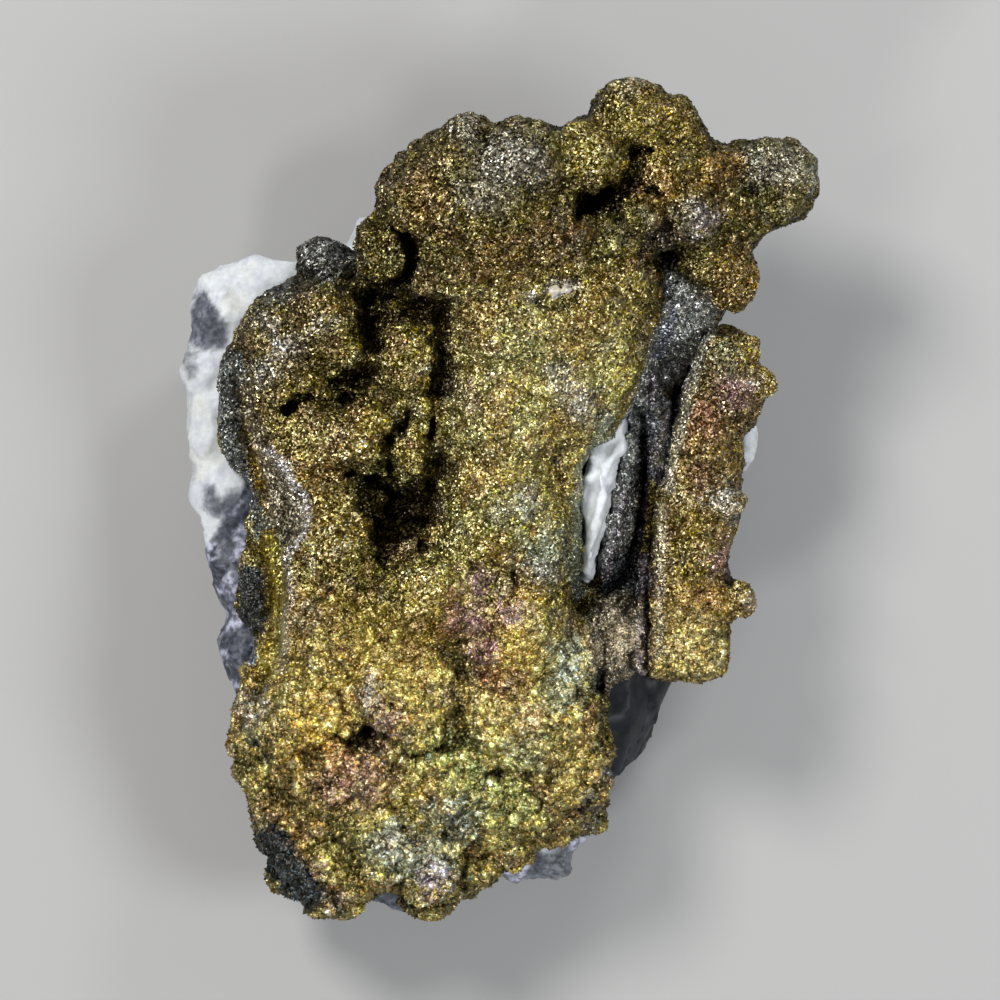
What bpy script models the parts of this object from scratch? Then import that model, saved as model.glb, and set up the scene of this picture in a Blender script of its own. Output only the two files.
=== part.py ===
"""Rainbow pyrite lying on its back: druse over calcite on slate.

Metres, +Z up out of the druse, +Y towards the end with the big dome. Places and radii in the
tables are millimetres from the middle of the specimen, and heights are above the surface that
it rests on.
"""

import math
import random

import bmesh
import bpy
from mathutils import Matrix, Vector

MM = 0.001
GAP = 0.3 * MM           # between neighbouring minerals
SWELL = 1.8 * GAP        # grows a neighbour's form, whose smoothing takes some of it back
VOXEL = 0.55 * MM        # detail of a fused skin
FINE_VOXEL = 0.4 * MM    # detail of the hollows
GRAIN_VOXEL = 0.12 * MM  # detail of the pale crystals
SEED = 7

# Triangles kept in each solid before it is parted from its neighbours.
SLATE_FACES = 620
CALCITE_FACES = 1450
CRUST_FACES = 5200
WALL_FACES = 1300
GRAIN_FACES = 90
GROWN_SHARE = 1.2        # of a neighbour's triangles, in the grown copy that cuts its bed

# Slate: outline (x, y) of the host rock, its two levels and the flat facets broken off it.
SLATE_OUTLINE = [
    (-24.0, 14.0), (-19.0, 21.0), (-10.0, 26.5), (2.0, 28.5), (12.0, 26.5), (19.0, 20.0),
    (22.0, 9.0), (22.5, -2.0), (20.0, -11.0), (17.6, -17.0), (16.9, -19.4), (15.4, -24.0),
    (13.6, -26.3), (10.8, -29.0), (9.4, -32.0), (5.0, -35.5), (-2.0, -37.5), (-12.0, -38.8),
    (-19.0, -36.5), (-23.0, -28.0), (-26.5, -16.0), (-28.0, -2.0),
]
SLATE_LEVELS = (-1.0, 8.5)
SLATE_EDGE = 1.2
SLATE_SHOULDER = [
    (8.0, -14.0), (21.0, -11.0), (17.6, -17.0), (16.9, -19.4), (15.4, -24.0), (13.6, -26.3),
    (10.8, -29.0), (7.0, -31.0), (4.0, -24.0),
]
SHOULDER_LEVELS = (4.0, 16.5)
SHOULDER_EDGE = 0.8
SLATE_RUFFLE = (6.0, 1.4)    # size and depth of its unevenness
# Each facet: a point on it and the way it faces.
SLATE_FACETS = [
    ((14.6, -21.0, 14.2), (0.75, -0.10, 1.00)),
    ((12.0, -26.5, 12.5), (0.40, -0.75, 1.00)),
    ((15.6, -24.5, 8.0), (1.00, -0.60, 0.50)),
    ((10.0, -20.0, 15.8), (0.10, 0.15, 1.00)),
    ((22.0, 0.0, 4.0), (1.00, 0.10, -0.55)),
    ((-2.0, 28.0, 4.0), (-0.10, 1.00, -0.50)),
    ((-26.0, -10.0, 3.0), (-1.00, -0.15, -0.60)),
    ((-10.0, -38.0, 3.0), (-0.15, -1.00, -0.60)),
    ((-20.0, 19.0, 3.0), (-1.00, 1.00, -0.60)),
    ((17.0, -22.0, 2.5), (1.00, -0.50, -0.70)),
    ((13.0, -19.0, 0.0), (0.30, -0.16, -1.00)),
    ((-15.0, 16.0, 0.0), (-0.16, 0.24, -1.00)),
    ((-8.0, -30.0, 0.0), (-0.05, -0.22, -1.00)),
    ((13.0, 18.0, 0.0), (0.20, 0.18, -1.00)),
    ((-21.0, -12.0, 0.0), (-0.34, -0.05, -1.00)),
]
SLATE_BACK = ((0.0, 0.0, 0.0), (0.0, 0.0, -1.0))

# Calcite: outline of the layer, its levels, and lumps (x, y, top, rx, ry, rz) grown on it.
CALCITE_OUTLINE = [
    (-12.6, 28.0), (-14.8, 26.1), (-17.5, 24.6), (-21.2, 23.9), (-25.1, 24.5), (-28.7, 23.4),
    (-30.2, 21.6), (-30.8, 20.1), (-30.6, 18.0), (-31.1, 16.2), (-32.1, 13.8), (-31.5, 10.9),
    (-31.4, 7.0), (-30.8, 4.8), (-31.1, 2.4), (-30.4, -1.5), (-29.4, -4.1), (-29.4, -6.2),
    (-28.2, -8.5), (-27.6, -10.3), (-27.8, -13.8), (-28.4, -15.7), (-27.5, -17.4),
    (-26.3, -21.5), (-25.0, -26.0), (-24.3, -30.4), (-22.6, -34.5), (-18.5, -38.0),
    (-11.5, -41.3), (-9.0, -41.2), (-4.5, -38.3), (2.0, -38.4), (5.6, -38.2), (6.6, -35.5),
    (8.0, -33.0), (7.6, -27.0), (8.0, -19.0), (13.5, -15.5), (19.5, -12.0), (22.6, -3.0),
    (24.4, 3.1), (26.0, 8.4), (24.2, 12.5), (21.0, 18.5), (14.0, 25.0), (4.0, 29.5),
    (-6.0, 30.5),
]
CALCITE_LEVELS = (3.0, 15.4)
CALCITE_EDGE = 1.6
CALCITE_RUFFLE = (3.0, 1.4)
CALCITE_LUMPS = [
    (-27.8, 19.0, 16.6, 3.4, 4.0, 4.0),
    (-29.4, 13.5, 16.2, 2.9, 3.6, 4.0),
    (-28.9, 6.5, 16.6, 2.8, 4.2, 4.0),
    (-28.2, 0.0, 16.0, 3.0, 3.6, 4.0),
    (-26.6, -7.5, 16.4, 2.7, 4.2, 4.0),
    (-26.0, -14.6, 16.2, 2.6, 3.0, 4.0),
    (-13.4, 27.0, 17.0, 1.9, 1.8, 4.0),
    (-25.2, -22.4, 15.5, 1.6, 1.6, 4.0),
    (-23.9, -30.4, 14.0, 1.5, 1.8, 4.0),
    (-10.2, -39.8, 12.6, 2.3, 1.9, 4.0),
    (5.3, -36.9, 13.6, 2.3, 1.9, 3.2),
    (2.0, -37.2, 12.8, 2.0, 1.7, 3.0),
    (4.3, -34.9, 15.2, 1.9, 1.3, 3.0),
    (7.6, -34.2, 14.0, 1.5, 1.2, 3.0),
    (24.6, 6.6, 16.5, 1.7, 3.8, 4.0),
]
# Facets broken off it; the first is its lower end, which falls away.
CALCITE_FACETS = [
    ((0.0, -28.0, 15.4), (0.0, -0.30, 1.00)),
    ((-30.6, 12.0, 9.0), (-1.00, 0.12, -0.55)),
    ((-29.2, 21.4, 11.0), (-0.90, 0.80, -0.50)),
    ((-28.4, -6.0, 8.5), (-1.00, -0.22, -0.75)),
    ((-20.0, 24.4, 9.5), (-0.10, 1.00, -0.70)),
    ((-27.2, -16.0, 9.0), (-1.00, -0.50, -0.40)),
    ((-23.0, -33.0, 8.0), (-1.00, -0.70, -0.60)),
    ((-9.0, -41.2, 9.0), (-0.05, -1.00, -0.60)),
    ((25.4, 6.0, 10.0), (1.00, 0.10, -0.60)),
    ((22.4, -5.0, 9.0), (1.00, -0.35, -0.50)),
    ((2.0, 29.6, 9.0), (0.10, 1.00, -0.80)),
]
# Blade of calcite that rises in the cleft: foot line, (x, y, top, half thickness).
BLADE = [
    (12.1, 8.2, 24.8, 0.80), (11.5, 5.0, 25.8, 1.25), (10.4, 2.0, 26.2, 1.45),
    (9.7, -1.5, 25.8, 1.35), (9.2, -5.0, 25.0, 1.05), (8.7, -8.2, 23.0, 0.65),
]

BLADE_BALLS = 6              # between two points of the foot line
BLADE_BALL_LENGTH = 1.2
BLADE_BALL_HEIGHT = 7.5

# Crust: outline of its low skirt, then of its thick body inside the broken rim.
SKIRT_OUTLINE = [
    (-12.6, 27.0), (-9.5, 29.6), (-4.0, 31.6), (5.0, 31.0), (12.5, 28.0), (20.0, 23.6),
    (23.2, 19.4), (21.4, 17.0), (19.6, 14.6), (18.0, 11.6), (17.0, 8.6), (16.0, 5.0),
    (15.0, 1.0), (14.6, -4.0), (14.6, -14.0), (14.0, -17.3), (10.7, -18.6), (10.5, -24.0),
    (10.7, -28.0), (8.8, -32.8), (3.0, -34.6), (-1.0, -37.6), (-7.2, -40.6), (-11.2, -38.8),
    (-16.6, -40.8), (-20.0, -39.4), (-22.2, -36.5), (-23.6, -33.5), (-24.9, -29.2),
    (-25.9, -26.2), (-26.8, -24.4), (-26.0, -21.5), (-26.3, -18.8), (-25.3, -16.4),
    (-24.2, -14.2), (-25.7, -11.5), (-26.3, -8.8), (-25.6, -5.6), (-24.9, -0.5),
    (-25.4, 2.3), (-27.4, 3.2), (-28.2, 7.0), (-27.8, 10.5), (-28.0, 13.8), (-26.7, 15.9),
    (-24.8, 19.2), (-23.0, 21.2), (-20.5, 22.0), (-16.0, 23.6), (-13.8, 25.2),
]
SKIRT_LEVELS = (11.5, 19.4)
SKIRT_EDGE = 2.0
BODY_OUTLINE = [
    (-12.0, 26.6), (-9.0, 31.0), (-3.0, 34.0), (6.0, 33.5), (14.0, 29.5), (18.6, 25.0),
    (16.6, 20.7), (16.0, 17.5), (14.8, 13.6), (12.2, 10.6), (10.4, 6.4), (8.2, 2.6),
    (8.0, -1.0), (7.6, -7.0), (7.4, -11.4), (9.6, -17.6), (10.0, -22.0), (9.6, -27.5),
    (6.0, -31.5), (-4.0, -34.5), (-14.0, -34.5), (-20.0, -31.0), (-23.4, -25.5),
    (-23.6, -20.0), (-21.4, -16.0), (-21.4, -12.0), (-20.8, -8.8), (-21.0, -5.8),
    (-19.2, -2.4), (-19.4, 0.6), (-21.4, 3.6), (-23.4, 6.2), (-24.4, 10.5), (-24.6, 15.6),
    (-22.6, 19.4), (-18.0, 21.2), (-14.4, 22.8),
]
BODY_LEVELS = (16.5, 24.0)
BODY_EDGE = 2.4

# Lumps of the crust: (x, y, top, rx, ry, rz).
DOME_LUMPS = [
    (-2.5, 28.0, 37.6, 9.8, 9.6, 11.0),
    (-6.8, 24.5, 34.6, 6.0, 8.0, 9.0),
    (2.1, 33.4, 37.0, 4.6, 4.5, 6.0),
    (-3.2, 36.5, 33.4, 2.1, 2.1, 3.4),
    (8.0, 33.6, 34.8, 4.0, 4.0, 6.0),
    (5.4, 26.4, 35.2, 6.0, 6.0, 8.0),
    (-11.5, 24.6, 30.2, 2.7, 3.2, 5.0),
    (-9.8, 30.0, 32.0, 2.6, 3.2, 6.0),
    (11.2, 25.4, 33.0, 4.8, 4.2, 6.5),
]
KNOB_LUMPS = [
    (13.4, 37.5, 34.2, 4.6, 4.5, 5.2),
    (17.4, 36.0, 31.8, 3.4, 3.4, 4.4),
    (10.8, 34.6, 32.5, 3.2, 3.0, 5.0),
    (12.2, 31.4, 30.0, 3.0, 3.0, 6.0),
    (16.4, 31.7, 33.6, 2.9, 2.8, 4.6),
    (14.1, 28.8, 33.4, 2.6, 2.5, 4.6),
    (19.3, 28.0, 32.8, 3.1, 3.1, 4.8),
    (20.2, 32.4, 31.2, 3.6, 3.2, 4.8),
    (27.9, 31.6, 31.0, 4.2, 4.4, 4.8),
    (25.0, 33.0, 29.8, 3.2, 2.8, 4.2),
    (24.0, 28.6, 30.6, 3.6, 3.4, 4.8),
    (22.8, 22.6, 29.2, 2.9, 3.8, 4.6),
    (20.6, 24.4, 30.0, 3.2, 3.4, 5.0),
]
PANEL_LUMPS = [
    (2.2, 17.4, 33.6, 8.2, 7.4, 10.0),
    (9.6, 18.6, 32.2, 6.2, 6.4, 8.0),
    (13.2, 21.0, 31.0, 3.6, 5.0, 7.0),
    (0.6, 8.6, 32.8, 6.8, 8.2, 10.0),
    (7.4, 11.2, 32.0, 6.0, 7.0, 8.6),
    (11.4, 14.4, 30.4, 3.8, 4.8, 7.6),
    (0.6, -1.4, 31.8, 7.2, 7.6, 10.0),
    (4.6, -3.6, 30.2, 3.8, 7.6, 8.0),
    (4.2, -7.4, 30.6, 2.7, 2.7, 4.0),
]
WEST_LUMPS = [
    (-9.0, 13.6, 29.4, 3.5, 5.0, 8.0),
    (-8.6, 6.2, 28.8, 2.7, 4.6, 6.0),
    (-17.4, 17.6, 28.0, 4.6, 4.2, 7.0),
    (-22.2, 16.4, 25.8, 3.6, 3.8, 6.0),
    (-20.8, 10.6, 27.4, 4.2, 4.4, 7.0),
    (-15.0, 14.6, 27.2, 2.6, 2.6, 5.0),
    (-14.4, 5.6, 28.4, 4.2, 3.4, 7.0),
    (-19.6, 5.0, 27.0, 4.2, 4.2, 6.5),
    (-17.8, 24.1, 22.4, 2.6, 2.3, 5.0),
    (-26.4, 12.0, 21.4, 1.9, 2.8, 3.4),
    (-26.4, 6.4, 21.0, 2.0, 2.8, 3.4),
    (-24.6, -10.2, 21.0, 1.9, 2.8, 3.4),
]
SOUTH_LUMPS = [
    (-15.2, -5.8, 27.8, 4.6, 5.0, 8.0),
    (-6.2, -10.4, 30.0, 7.2, 6.2, 9.0),
    (-16.4, -13.4, 28.8, 5.4, 6.4, 8.0),
    (1.8, -12.6, 30.6, 6.0, 6.8, 9.0),
    (-9.4, -19.4, 28.6, 6.6, 6.0, 8.0),
    (1.6, -21.6, 28.4, 7.2, 7.0, 9.0),
    (-18.8, -21.4, 26.4, 5.2, 5.6, 8.0),
    (6.6, -16.6, 26.6, 3.4, 4.6, 6.0),
    (-15.6, -28.6, 25.0, 6.6, 5.4, 8.0),
    (-4.8, -28.4, 27.0, 6.6, 5.8, 8.0),
    (5.4, -27.2, 24.2, 4.6, 5.2, 7.0),
    (-11.1, -35.1, 24.6, 3.1, 3.1, 5.2),
    (-6.7, -36.3, 23.8, 2.9, 3.0, 5.2),
    (-17.2, -34.2, 21.2, 4.4, 3.8, 6.0),
    (-0.6, -33.8, 21.6, 4.2, 3.4, 5.6),
    (5.2, -31.8, 19.4, 3.2, 2.6, 5.0),
    (-16.6, -39.3, 16.8, 2.8, 2.8, 3.6),
    (-7.3, -39.4, 18.0, 2.4, 2.5, 4.4),
    (-3.8, -37.8, 18.6, 2.5, 2.3, 4.4),
    (-20.6, -36.6, 16.6, 2.4, 3.0, 4.0),
    (8.2, -31.6, 16.4, 2.2, 2.2, 3.8),
    (-24.4, -24.0, 20.6, 2.2, 2.4, 4.6),
    (-22.4, -31.0, 19.0, 2.4, 3.0, 5.0),
]
CLEFT_LUMPS = [
    (10.4, -14.4, 24.2, 2.9, 3.0, 5.4),
    (18.0, 18.6, 25.0, 3.6, 4.6, 6.0),
    (15.2, 9.0, 21.4, 2.0, 4.6, 4.0),
]

# Hollows of the crust: (x, y, floor, rx, ry, rz).
HOLLOWS = [
    (-10.2, -2.0, 16.8, 3.2, 2.9, 12.0),
    (-8.6, -0.6, 18.0, 2.2, 2.6, 11.0),
    (-11.4, -4.2, 19.4, 2.0, 1.6, 9.0),
    (-12.6, 0.8, 19.6, 2.2, 2.2, 10.0),
    (-14.6, 2.4, 22.6, 1.7, 1.5, 8.0),
    (-8.8, 19.0, 23.6, 3.6, 1.8, 8.0),
    (-11.6, 19.8, 24.2, 2.2, 1.5, 7.0),
    (-13.2, 17.4, 22.6, 1.0, 3.0, 8.0),
    (-15.4, 11.2, 23.2, 2.7, 1.7, 8.0),
    (-19.8, 9.8, 24.0, 1.6, 0.8, 6.0),
    (9.2, 29.4, 25.5, 2.0, 1.7, 12.0),
    (14.6, 25.3, 27.0, 0.8, 0.8, 6.0),
    (-13.5, -23.6, 20.6, 2.0, 1.5, 8.0),
    (-10.6, -20.2, 23.4, 0.9, 0.9, 6.0),
    (-24.3, -17.6, 18.6, 1.3, 1.4, 6.0),
    (5.6, 20.2, 30.6, 1.5, 1.0, 4.0),
    (10.1, -18.6, 15.0, 0.8, 1.1, 9.0),
]
# Grooves: line of the floor (x, y), then its height, half width and depth of the cutter.
GROOVES = [
    ([(-5.2, 19.4), (-5.7, 15.6), (-5.5, 13.0), (-6.1, 11.2), (-5.9, 9.0), (-7.0, 6.4),
      (-7.7, 4.2), (-6.7, 2.3), (-6.8, -1.3)], 24.6, 0.9, 9.0),
    ([(-8.7, 9.2), (-10.0, 6.8), (-11.1, 5.6), (-10.9, 4.0), (-10.6, 2.0)], 23.6, 0.85, 7.0),
    ([(-10.4, 28.0), (-9.0, 26.0), (-8.2, 24.0), (-9.2, 22.0), (-11.2, 21.0)], 26.0, 0.8, 9.0),
    ([(-26.6, 14.4), (-25.6, 10.0), (-24.8, 7.9), (-23.6, 4.6), (-22.3, 0.8), (-21.8, -2.2),
      (-22.8, -5.6), (-22.6, -10.0), (-22.8, -14.0), (-23.4, -17.0)], 19.0, 1.0, 9.0),
    ([(14.2, 7.6), (14.0, 3.0), (14.2, -2.0), (14.3, -7.4)], 14.5, 0.55, 7.0),
]
# Broken rim of the crust: crest line (x, y), height, radius, depth and spacing of its balls.
RIM = [
    (-23.0, 4.8), (-20.6, 1.7), (-19.1, -0.2), (-19.2, -2.6), (-20.9, -5.8), (-20.8, -10.2),
    (-21.6, -11.8), (-20.9, -15.0),
]
RIM_HEIGHT = 25.4
RIM_RADIUS = 0.95
RIM_DEPTH = 3.0
RIM_SPACING = 0.8

# Wall on the right of the cleft.
WALL_OUTLINE = [
    (20.4, 14.2), (19.0, 12.2), (18.3, 9.8), (17.6, 7.0), (16.9, 2.6), (15.9, 0.6),
    (15.6, -3.0), (15.3, -7.8), (15.2, -19.4), (21.4, -19.4), (22.9, -15.8), (22.8, -13.4),
    (22.4, -11.0), (22.6, -8.2), (22.5, -5.6), (23.4, -3.6), (24.2, -1.0), (23.9, 1.2),
    (24.4, 3.0), (24.2, 6.0), (25.0, 8.2), (26.4, 10.4), (26.9, 11.8), (25.6, 13.8),
    (24.8, 15.8), (23.6, 17.2), (22.0, 16.4),
]
WALL_LEVELS = (12.5, 25.2)
WALL_EDGE = 1.6
WALL_LUMPS = [
    (22.6, 14.2, 27.4, 3.0, 3.2, 6.0),
    (23.0, 9.6, 27.2, 3.2, 3.4, 6.0),
    (20.0, 9.2, 26.6, 1.9, 3.4, 5.0),
    (21.0, 4.2, 27.0, 3.0, 3.6, 6.0),
    (22.4, -0.4, 27.8, 2.0, 2.0, 5.0),
    (18.8, -2.0, 26.8, 2.6, 3.4, 6.0),
    (20.6, -6.0, 26.8, 2.4, 3.2, 6.0),
    (18.2, -9.0, 27.0, 2.4, 4.0, 6.0),
    (20.4, -12.8, 27.0, 2.6, 3.4, 6.0),
    (24.2, -10.0, 25.4, 1.3, 1.2, 3.0),
    (26.4, 11.4, 25.2, 1.3, 1.2, 3.0),
    (17.6, -15.4, 26.2, 2.2, 2.8, 5.0),
    (20.8, -16.6, 26.4, 2.0, 2.4, 5.0),
]
WALL_END = ((0.0, -17.6, 22.0), (0.0, -1.0, 0.05))

# Pale crystals grown together in a pit: (x, y, z of the middle, across the corners, turn).
GRAINS = [
    (5.55, 20.55, 33.1, 1.7, 0.4),
    (6.75, 20.75, 33.0, 1.3, 1.1),
]
GRAIN_EDGE = 0.62            # of the length across a crystal's corners
GRAIN_LEAN = 0.7

# Small nodules over the druse: how many, their least distance apart, their radii, the part of
# the radius that is sunk, and the stretch of Y that they grow on.
CRUST_NODULES = [
    (520, 2.2, (1.1, 2.0), 0.70, (-22.0, 60.0)),
    (170, 2.2, (1.2, 2.2), 0.55, (-60.0, -20.0)),
]
WALL_NODULES = (120, 2.0, (0.8, 1.5), 0.75, (-60.0, 60.0))
TRIES = 8                    # places tried for each nodule


def clear_scene():
    for piece in list(bpy.data.objects):
        bpy.data.objects.remove(piece, do_unlink=True)


def collection(name):
    group = bpy.data.collections.new(name)
    bpy.context.scene.collection.children.link(group)
    return group


def material(name, colour, metallic, roughness):
    """A plain finish: colour is linear red, green, blue."""
    finish = bpy.data.materials.new(name)
    finish.use_nodes = True
    shader = finish.node_tree.nodes["Principled BSDF"]
    shader.inputs["Base Color"].default_value = (*colour, 1.0)
    shader.inputs["Metallic"].default_value = metallic
    shader.inputs["Roughness"].default_value = roughness
    return finish


def linked(name, mesh):
    piece = bpy.data.objects.new(name, mesh)
    bpy.context.scene.collection.objects.link(piece)
    return piece


def from_bmesh(name, form):
    mesh = bpy.data.meshes.new(name)
    form.to_mesh(mesh)
    form.free()
    return linked(name, mesh)


def apply_modifiers(piece):
    graph = bpy.context.evaluated_depsgraph_get()
    mesh = bpy.data.meshes.new_from_object(piece.evaluated_get(graph))
    piece.modifiers.clear()
    piece.data = mesh


def ellipsoids(name, lumps, rising=True):
    """Balls (x, y, level, rx, ry, rz); the level is their top, or their floor for a cutter."""
    form = bmesh.new()
    for x, y, level, rx, ry, rz in lumps:
        middle = level - rz if rising else level + rz
        place = Matrix.Translation(Vector((x, y, middle)) * MM)
        size = Matrix.Diagonal((rx * MM, ry * MM, rz * MM, 1.0))
        bmesh.ops.create_icosphere(form, subdivisions=3, radius=1.0, matrix=place @ size)
    return from_bmesh(name, form)


def slab(name, outline, levels, edge):
    """A plate of the outline between two levels, its edges rounded by the radius edge."""
    low, high = (level * MM for level in levels)
    curve = bpy.data.curves.new(name, "CURVE")
    curve.dimensions = "2D"
    curve.fill_mode = "BOTH"
    curve.extrude = (high - low) / 2 - edge * MM
    curve.bevel_depth = edge * MM
    curve.bevel_resolution = 3
    curve.offset = -edge * MM
    spline = curve.splines.new("POLY")
    spline.points.add(len(outline) - 1)
    for point, (x, y) in zip(spline.points, outline):
        point.co = (x * MM, y * MM, 0.0, 1.0)
    spline.use_cyclic_u = True
    guide = linked(name + "_outline", curve)
    graph = bpy.context.evaluated_depsgraph_get()
    mesh = bpy.data.meshes.new_from_object(guide.evaluated_get(graph))
    bpy.data.objects.remove(guide)
    mesh.transform(Matrix.Translation((0.0, 0.0, (low + high) / 2)))
    form = bmesh.new()
    form.from_mesh(mesh)
    bmesh.ops.remove_doubles(form, verts=form.verts, dist=0.01 * MM)
    bmesh.ops.recalc_face_normals(form, faces=form.faces)
    return from_bmesh(name, form)


def joined(name, pieces):
    """One object of all the pieces' faces, which still overlap."""
    form = bmesh.new()
    for piece in pieces:
        form.from_mesh(piece.data)
        bpy.data.objects.remove(piece)
    return from_bmesh(name, form)


def keep_largest_shell(piece):
    """Drops chips and sealed voids: only the shell with the most faces stays."""
    form = bmesh.new()
    form.from_mesh(piece.data)
    waiting = set(form.faces)
    shells = []
    while waiting:
        shell = [waiting.pop()]
        for face in shell:
            for edge in face.edges:
                for neighbour in edge.link_faces:
                    if neighbour in waiting:
                        waiting.remove(neighbour)
                        shell.append(neighbour)
        shells.append(shell)
    shells.sort(key=len)
    for shell in shells[:-1]:
        bmesh.ops.delete(form, geom=shell, context="FACES")
    loose = [vert for vert in form.verts if not vert.link_faces]
    bmesh.ops.delete(form, geom=loose, context="VERTS")
    form.to_mesh(piece.data)
    form.free()


def fuse(name, pieces, voxel=VOXEL, smoothing=2, one_shell=True):
    """A closed skin round all the pieces, in one shell unless they are separate hollows."""
    whole = joined(name, pieces)
    skin = whole.modifiers.new("skin", "REMESH")
    skin.mode = "VOXEL"
    skin.voxel_size = voxel
    if smoothing:
        softer = whole.modifiers.new("softer", "SMOOTH")
        softer.iterations = smoothing
    apply_modifiers(whole)
    if one_shell:
        keep_largest_shell(whole)
    return whole


def carve(piece, cutter):
    cut = piece.modifiers.new("cut", "BOOLEAN")
    cut.operation = "DIFFERENCE"
    cut.solver = "EXACT"
    cut.use_self = True
    cut.object = cutter
    apply_modifiers(piece)
    bpy.data.objects.remove(cutter)
    keep_largest_shell(piece)


def shave(piece, facets):
    """Breaks flat facets off a piece: each is a point in millimetres and the way it faces."""
    form = bmesh.new()
    form.from_mesh(piece.data)
    for point, facing in facets:
        everything = form.verts[:] + form.edges[:] + form.faces[:]
        cut = bmesh.ops.bisect_plane(
            form, geom=everything, plane_co=Vector(point) * MM, plane_no=Vector(facing),
            clear_outer=True, dist=0.001 * MM)
        edges = [item for item in cut["geom_cut"] if isinstance(item, bmesh.types.BMEdge)]
        if edges:
            bmesh.ops.holes_fill(form, edges=edges, sides=0)
    bmesh.ops.triangulate(form, faces=form.faces)
    form.to_mesh(piece.data)
    form.free()


def thin_out(piece, faces):
    """Collapses the skin to about the number of triangles, which leaves rock-like facets."""
    count = sum(len(face.vertices) - 2 for face in piece.data.polygons)
    fewer = piece.modifiers.new("fewer", "DECIMATE")
    fewer.ratio = min(1.0, faces / count)
    fewer.use_collapse_triangulate = True
    apply_modifiers(piece)
    keep_largest_shell(piece)


def ruffle(piece, size, depth):
    """Pushes the skin in and out by clouds of the size and depth, in millimetres."""
    clouds = bpy.data.textures.new("ruffle", "CLOUDS")
    clouds.noise_scale = size * MM
    clouds.noise_depth = 2
    push = piece.modifiers.new("ruffle", "DISPLACE")
    push.texture = clouds
    push.texture_coords = "LOCAL"
    push.strength = depth * MM
    push.mid_level = 0.5
    apply_modifiers(piece)


def stand_clear(piece, neighbour):
    """Cuts the neighbour's form, grown by the gap and a little more, out of the piece."""
    grown = linked("grown", neighbour.data.copy())
    swell = grown.modifiers.new("swell", "DISPLACE")
    swell.strength = SWELL
    swell.mid_level = 0.0
    apply_modifiers(grown)
    grown = fuse("grown", [grown], voxel=FINE_VOXEL, smoothing=1)
    thin_out(grown, GROWN_SHARE * len(neighbour.data.polygons))
    carve(piece, grown)


def groove_cutter(name, line, floor, half_width, depth):
    """Overlapping balls along a line, so that a groove of one width is cut."""
    lumps = []
    for (x0, y0), (x1, y1) in zip(line, line[1:]):
        steps = max(1, math.ceil(math.hypot(x1 - x0, y1 - y0) / half_width))
        for step in range(steps + 1):
            part = step / steps
            lumps.append((x0 + part * (x1 - x0), y0 + part * (y1 - y0), floor,
                          half_width, half_width, depth))
    return ellipsoids(name, lumps, rising=False)


def nodules(piece, seed, count, spacing, radii, sunk, stretch):
    """Balls partly sunk in the piece's skin at random places, none close to another."""
    draw = random.Random(seed)
    low, high = (limit * MM for limit in stretch)
    spots = [vert for vert in piece.data.vertices if low < vert.co.y < high]
    form = bmesh.new()
    chosen = []
    for vert in draw.sample(spots, min(len(spots), TRIES * count)):
        if len(chosen) == count:
            break
        if all((vert.co - other).length > spacing * MM for other in chosen):
            chosen.append(vert.co.copy())
            radius = draw.uniform(*radii) * MM
            place = Matrix.Translation(vert.co - vert.normal * radius * sunk)
            bmesh.ops.create_icosphere(form, subdivisions=2, radius=radius, matrix=place)
    return from_bmesh("nodules", form)


def make_slate():
    rock = fuse("slate", [
        slab("bed", SLATE_OUTLINE, SLATE_LEVELS, SLATE_EDGE),
        slab("shoulder", SLATE_SHOULDER, SHOULDER_LEVELS, SHOULDER_EDGE)])
    ruffle(rock, *SLATE_RUFFLE)
    thin_out(rock, SLATE_FACES)
    shave(rock, SLATE_FACETS + [SLATE_BACK])
    return rock


def blade_lumps():
    """Balls along the calcite blade, close enough to make one sheet."""
    lumps = []
    for (x0, y0, top0, half0), (x1, y1, top1, half1) in zip(BLADE, BLADE[1:]):
        for step in range(BLADE_BALLS):
            part = step / BLADE_BALLS
            half = half0 + part * (half1 - half0)
            lumps.append((x0 + part * (x1 - x0), y0 + part * (y1 - y0),
                          top0 + part * (top1 - top0), half, BLADE_BALL_LENGTH, BLADE_BALL_HEIGHT))
    return lumps


def make_calcite(slate):
    layer = fuse("calcite", [slab("sheet", CALCITE_OUTLINE, CALCITE_LEVELS, CALCITE_EDGE)])
    shave(layer, CALCITE_FACETS)
    layer = fuse("calcite", [layer, ellipsoids("calcite_lumps", CALCITE_LUMPS)])
    ruffle(layer, *CALCITE_RUFFLE)
    layer = fuse("calcite", [layer, ellipsoids("blade", blade_lumps())])
    thin_out(layer, CALCITE_FACES)
    stand_clear(layer, slate)
    return layer


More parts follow.
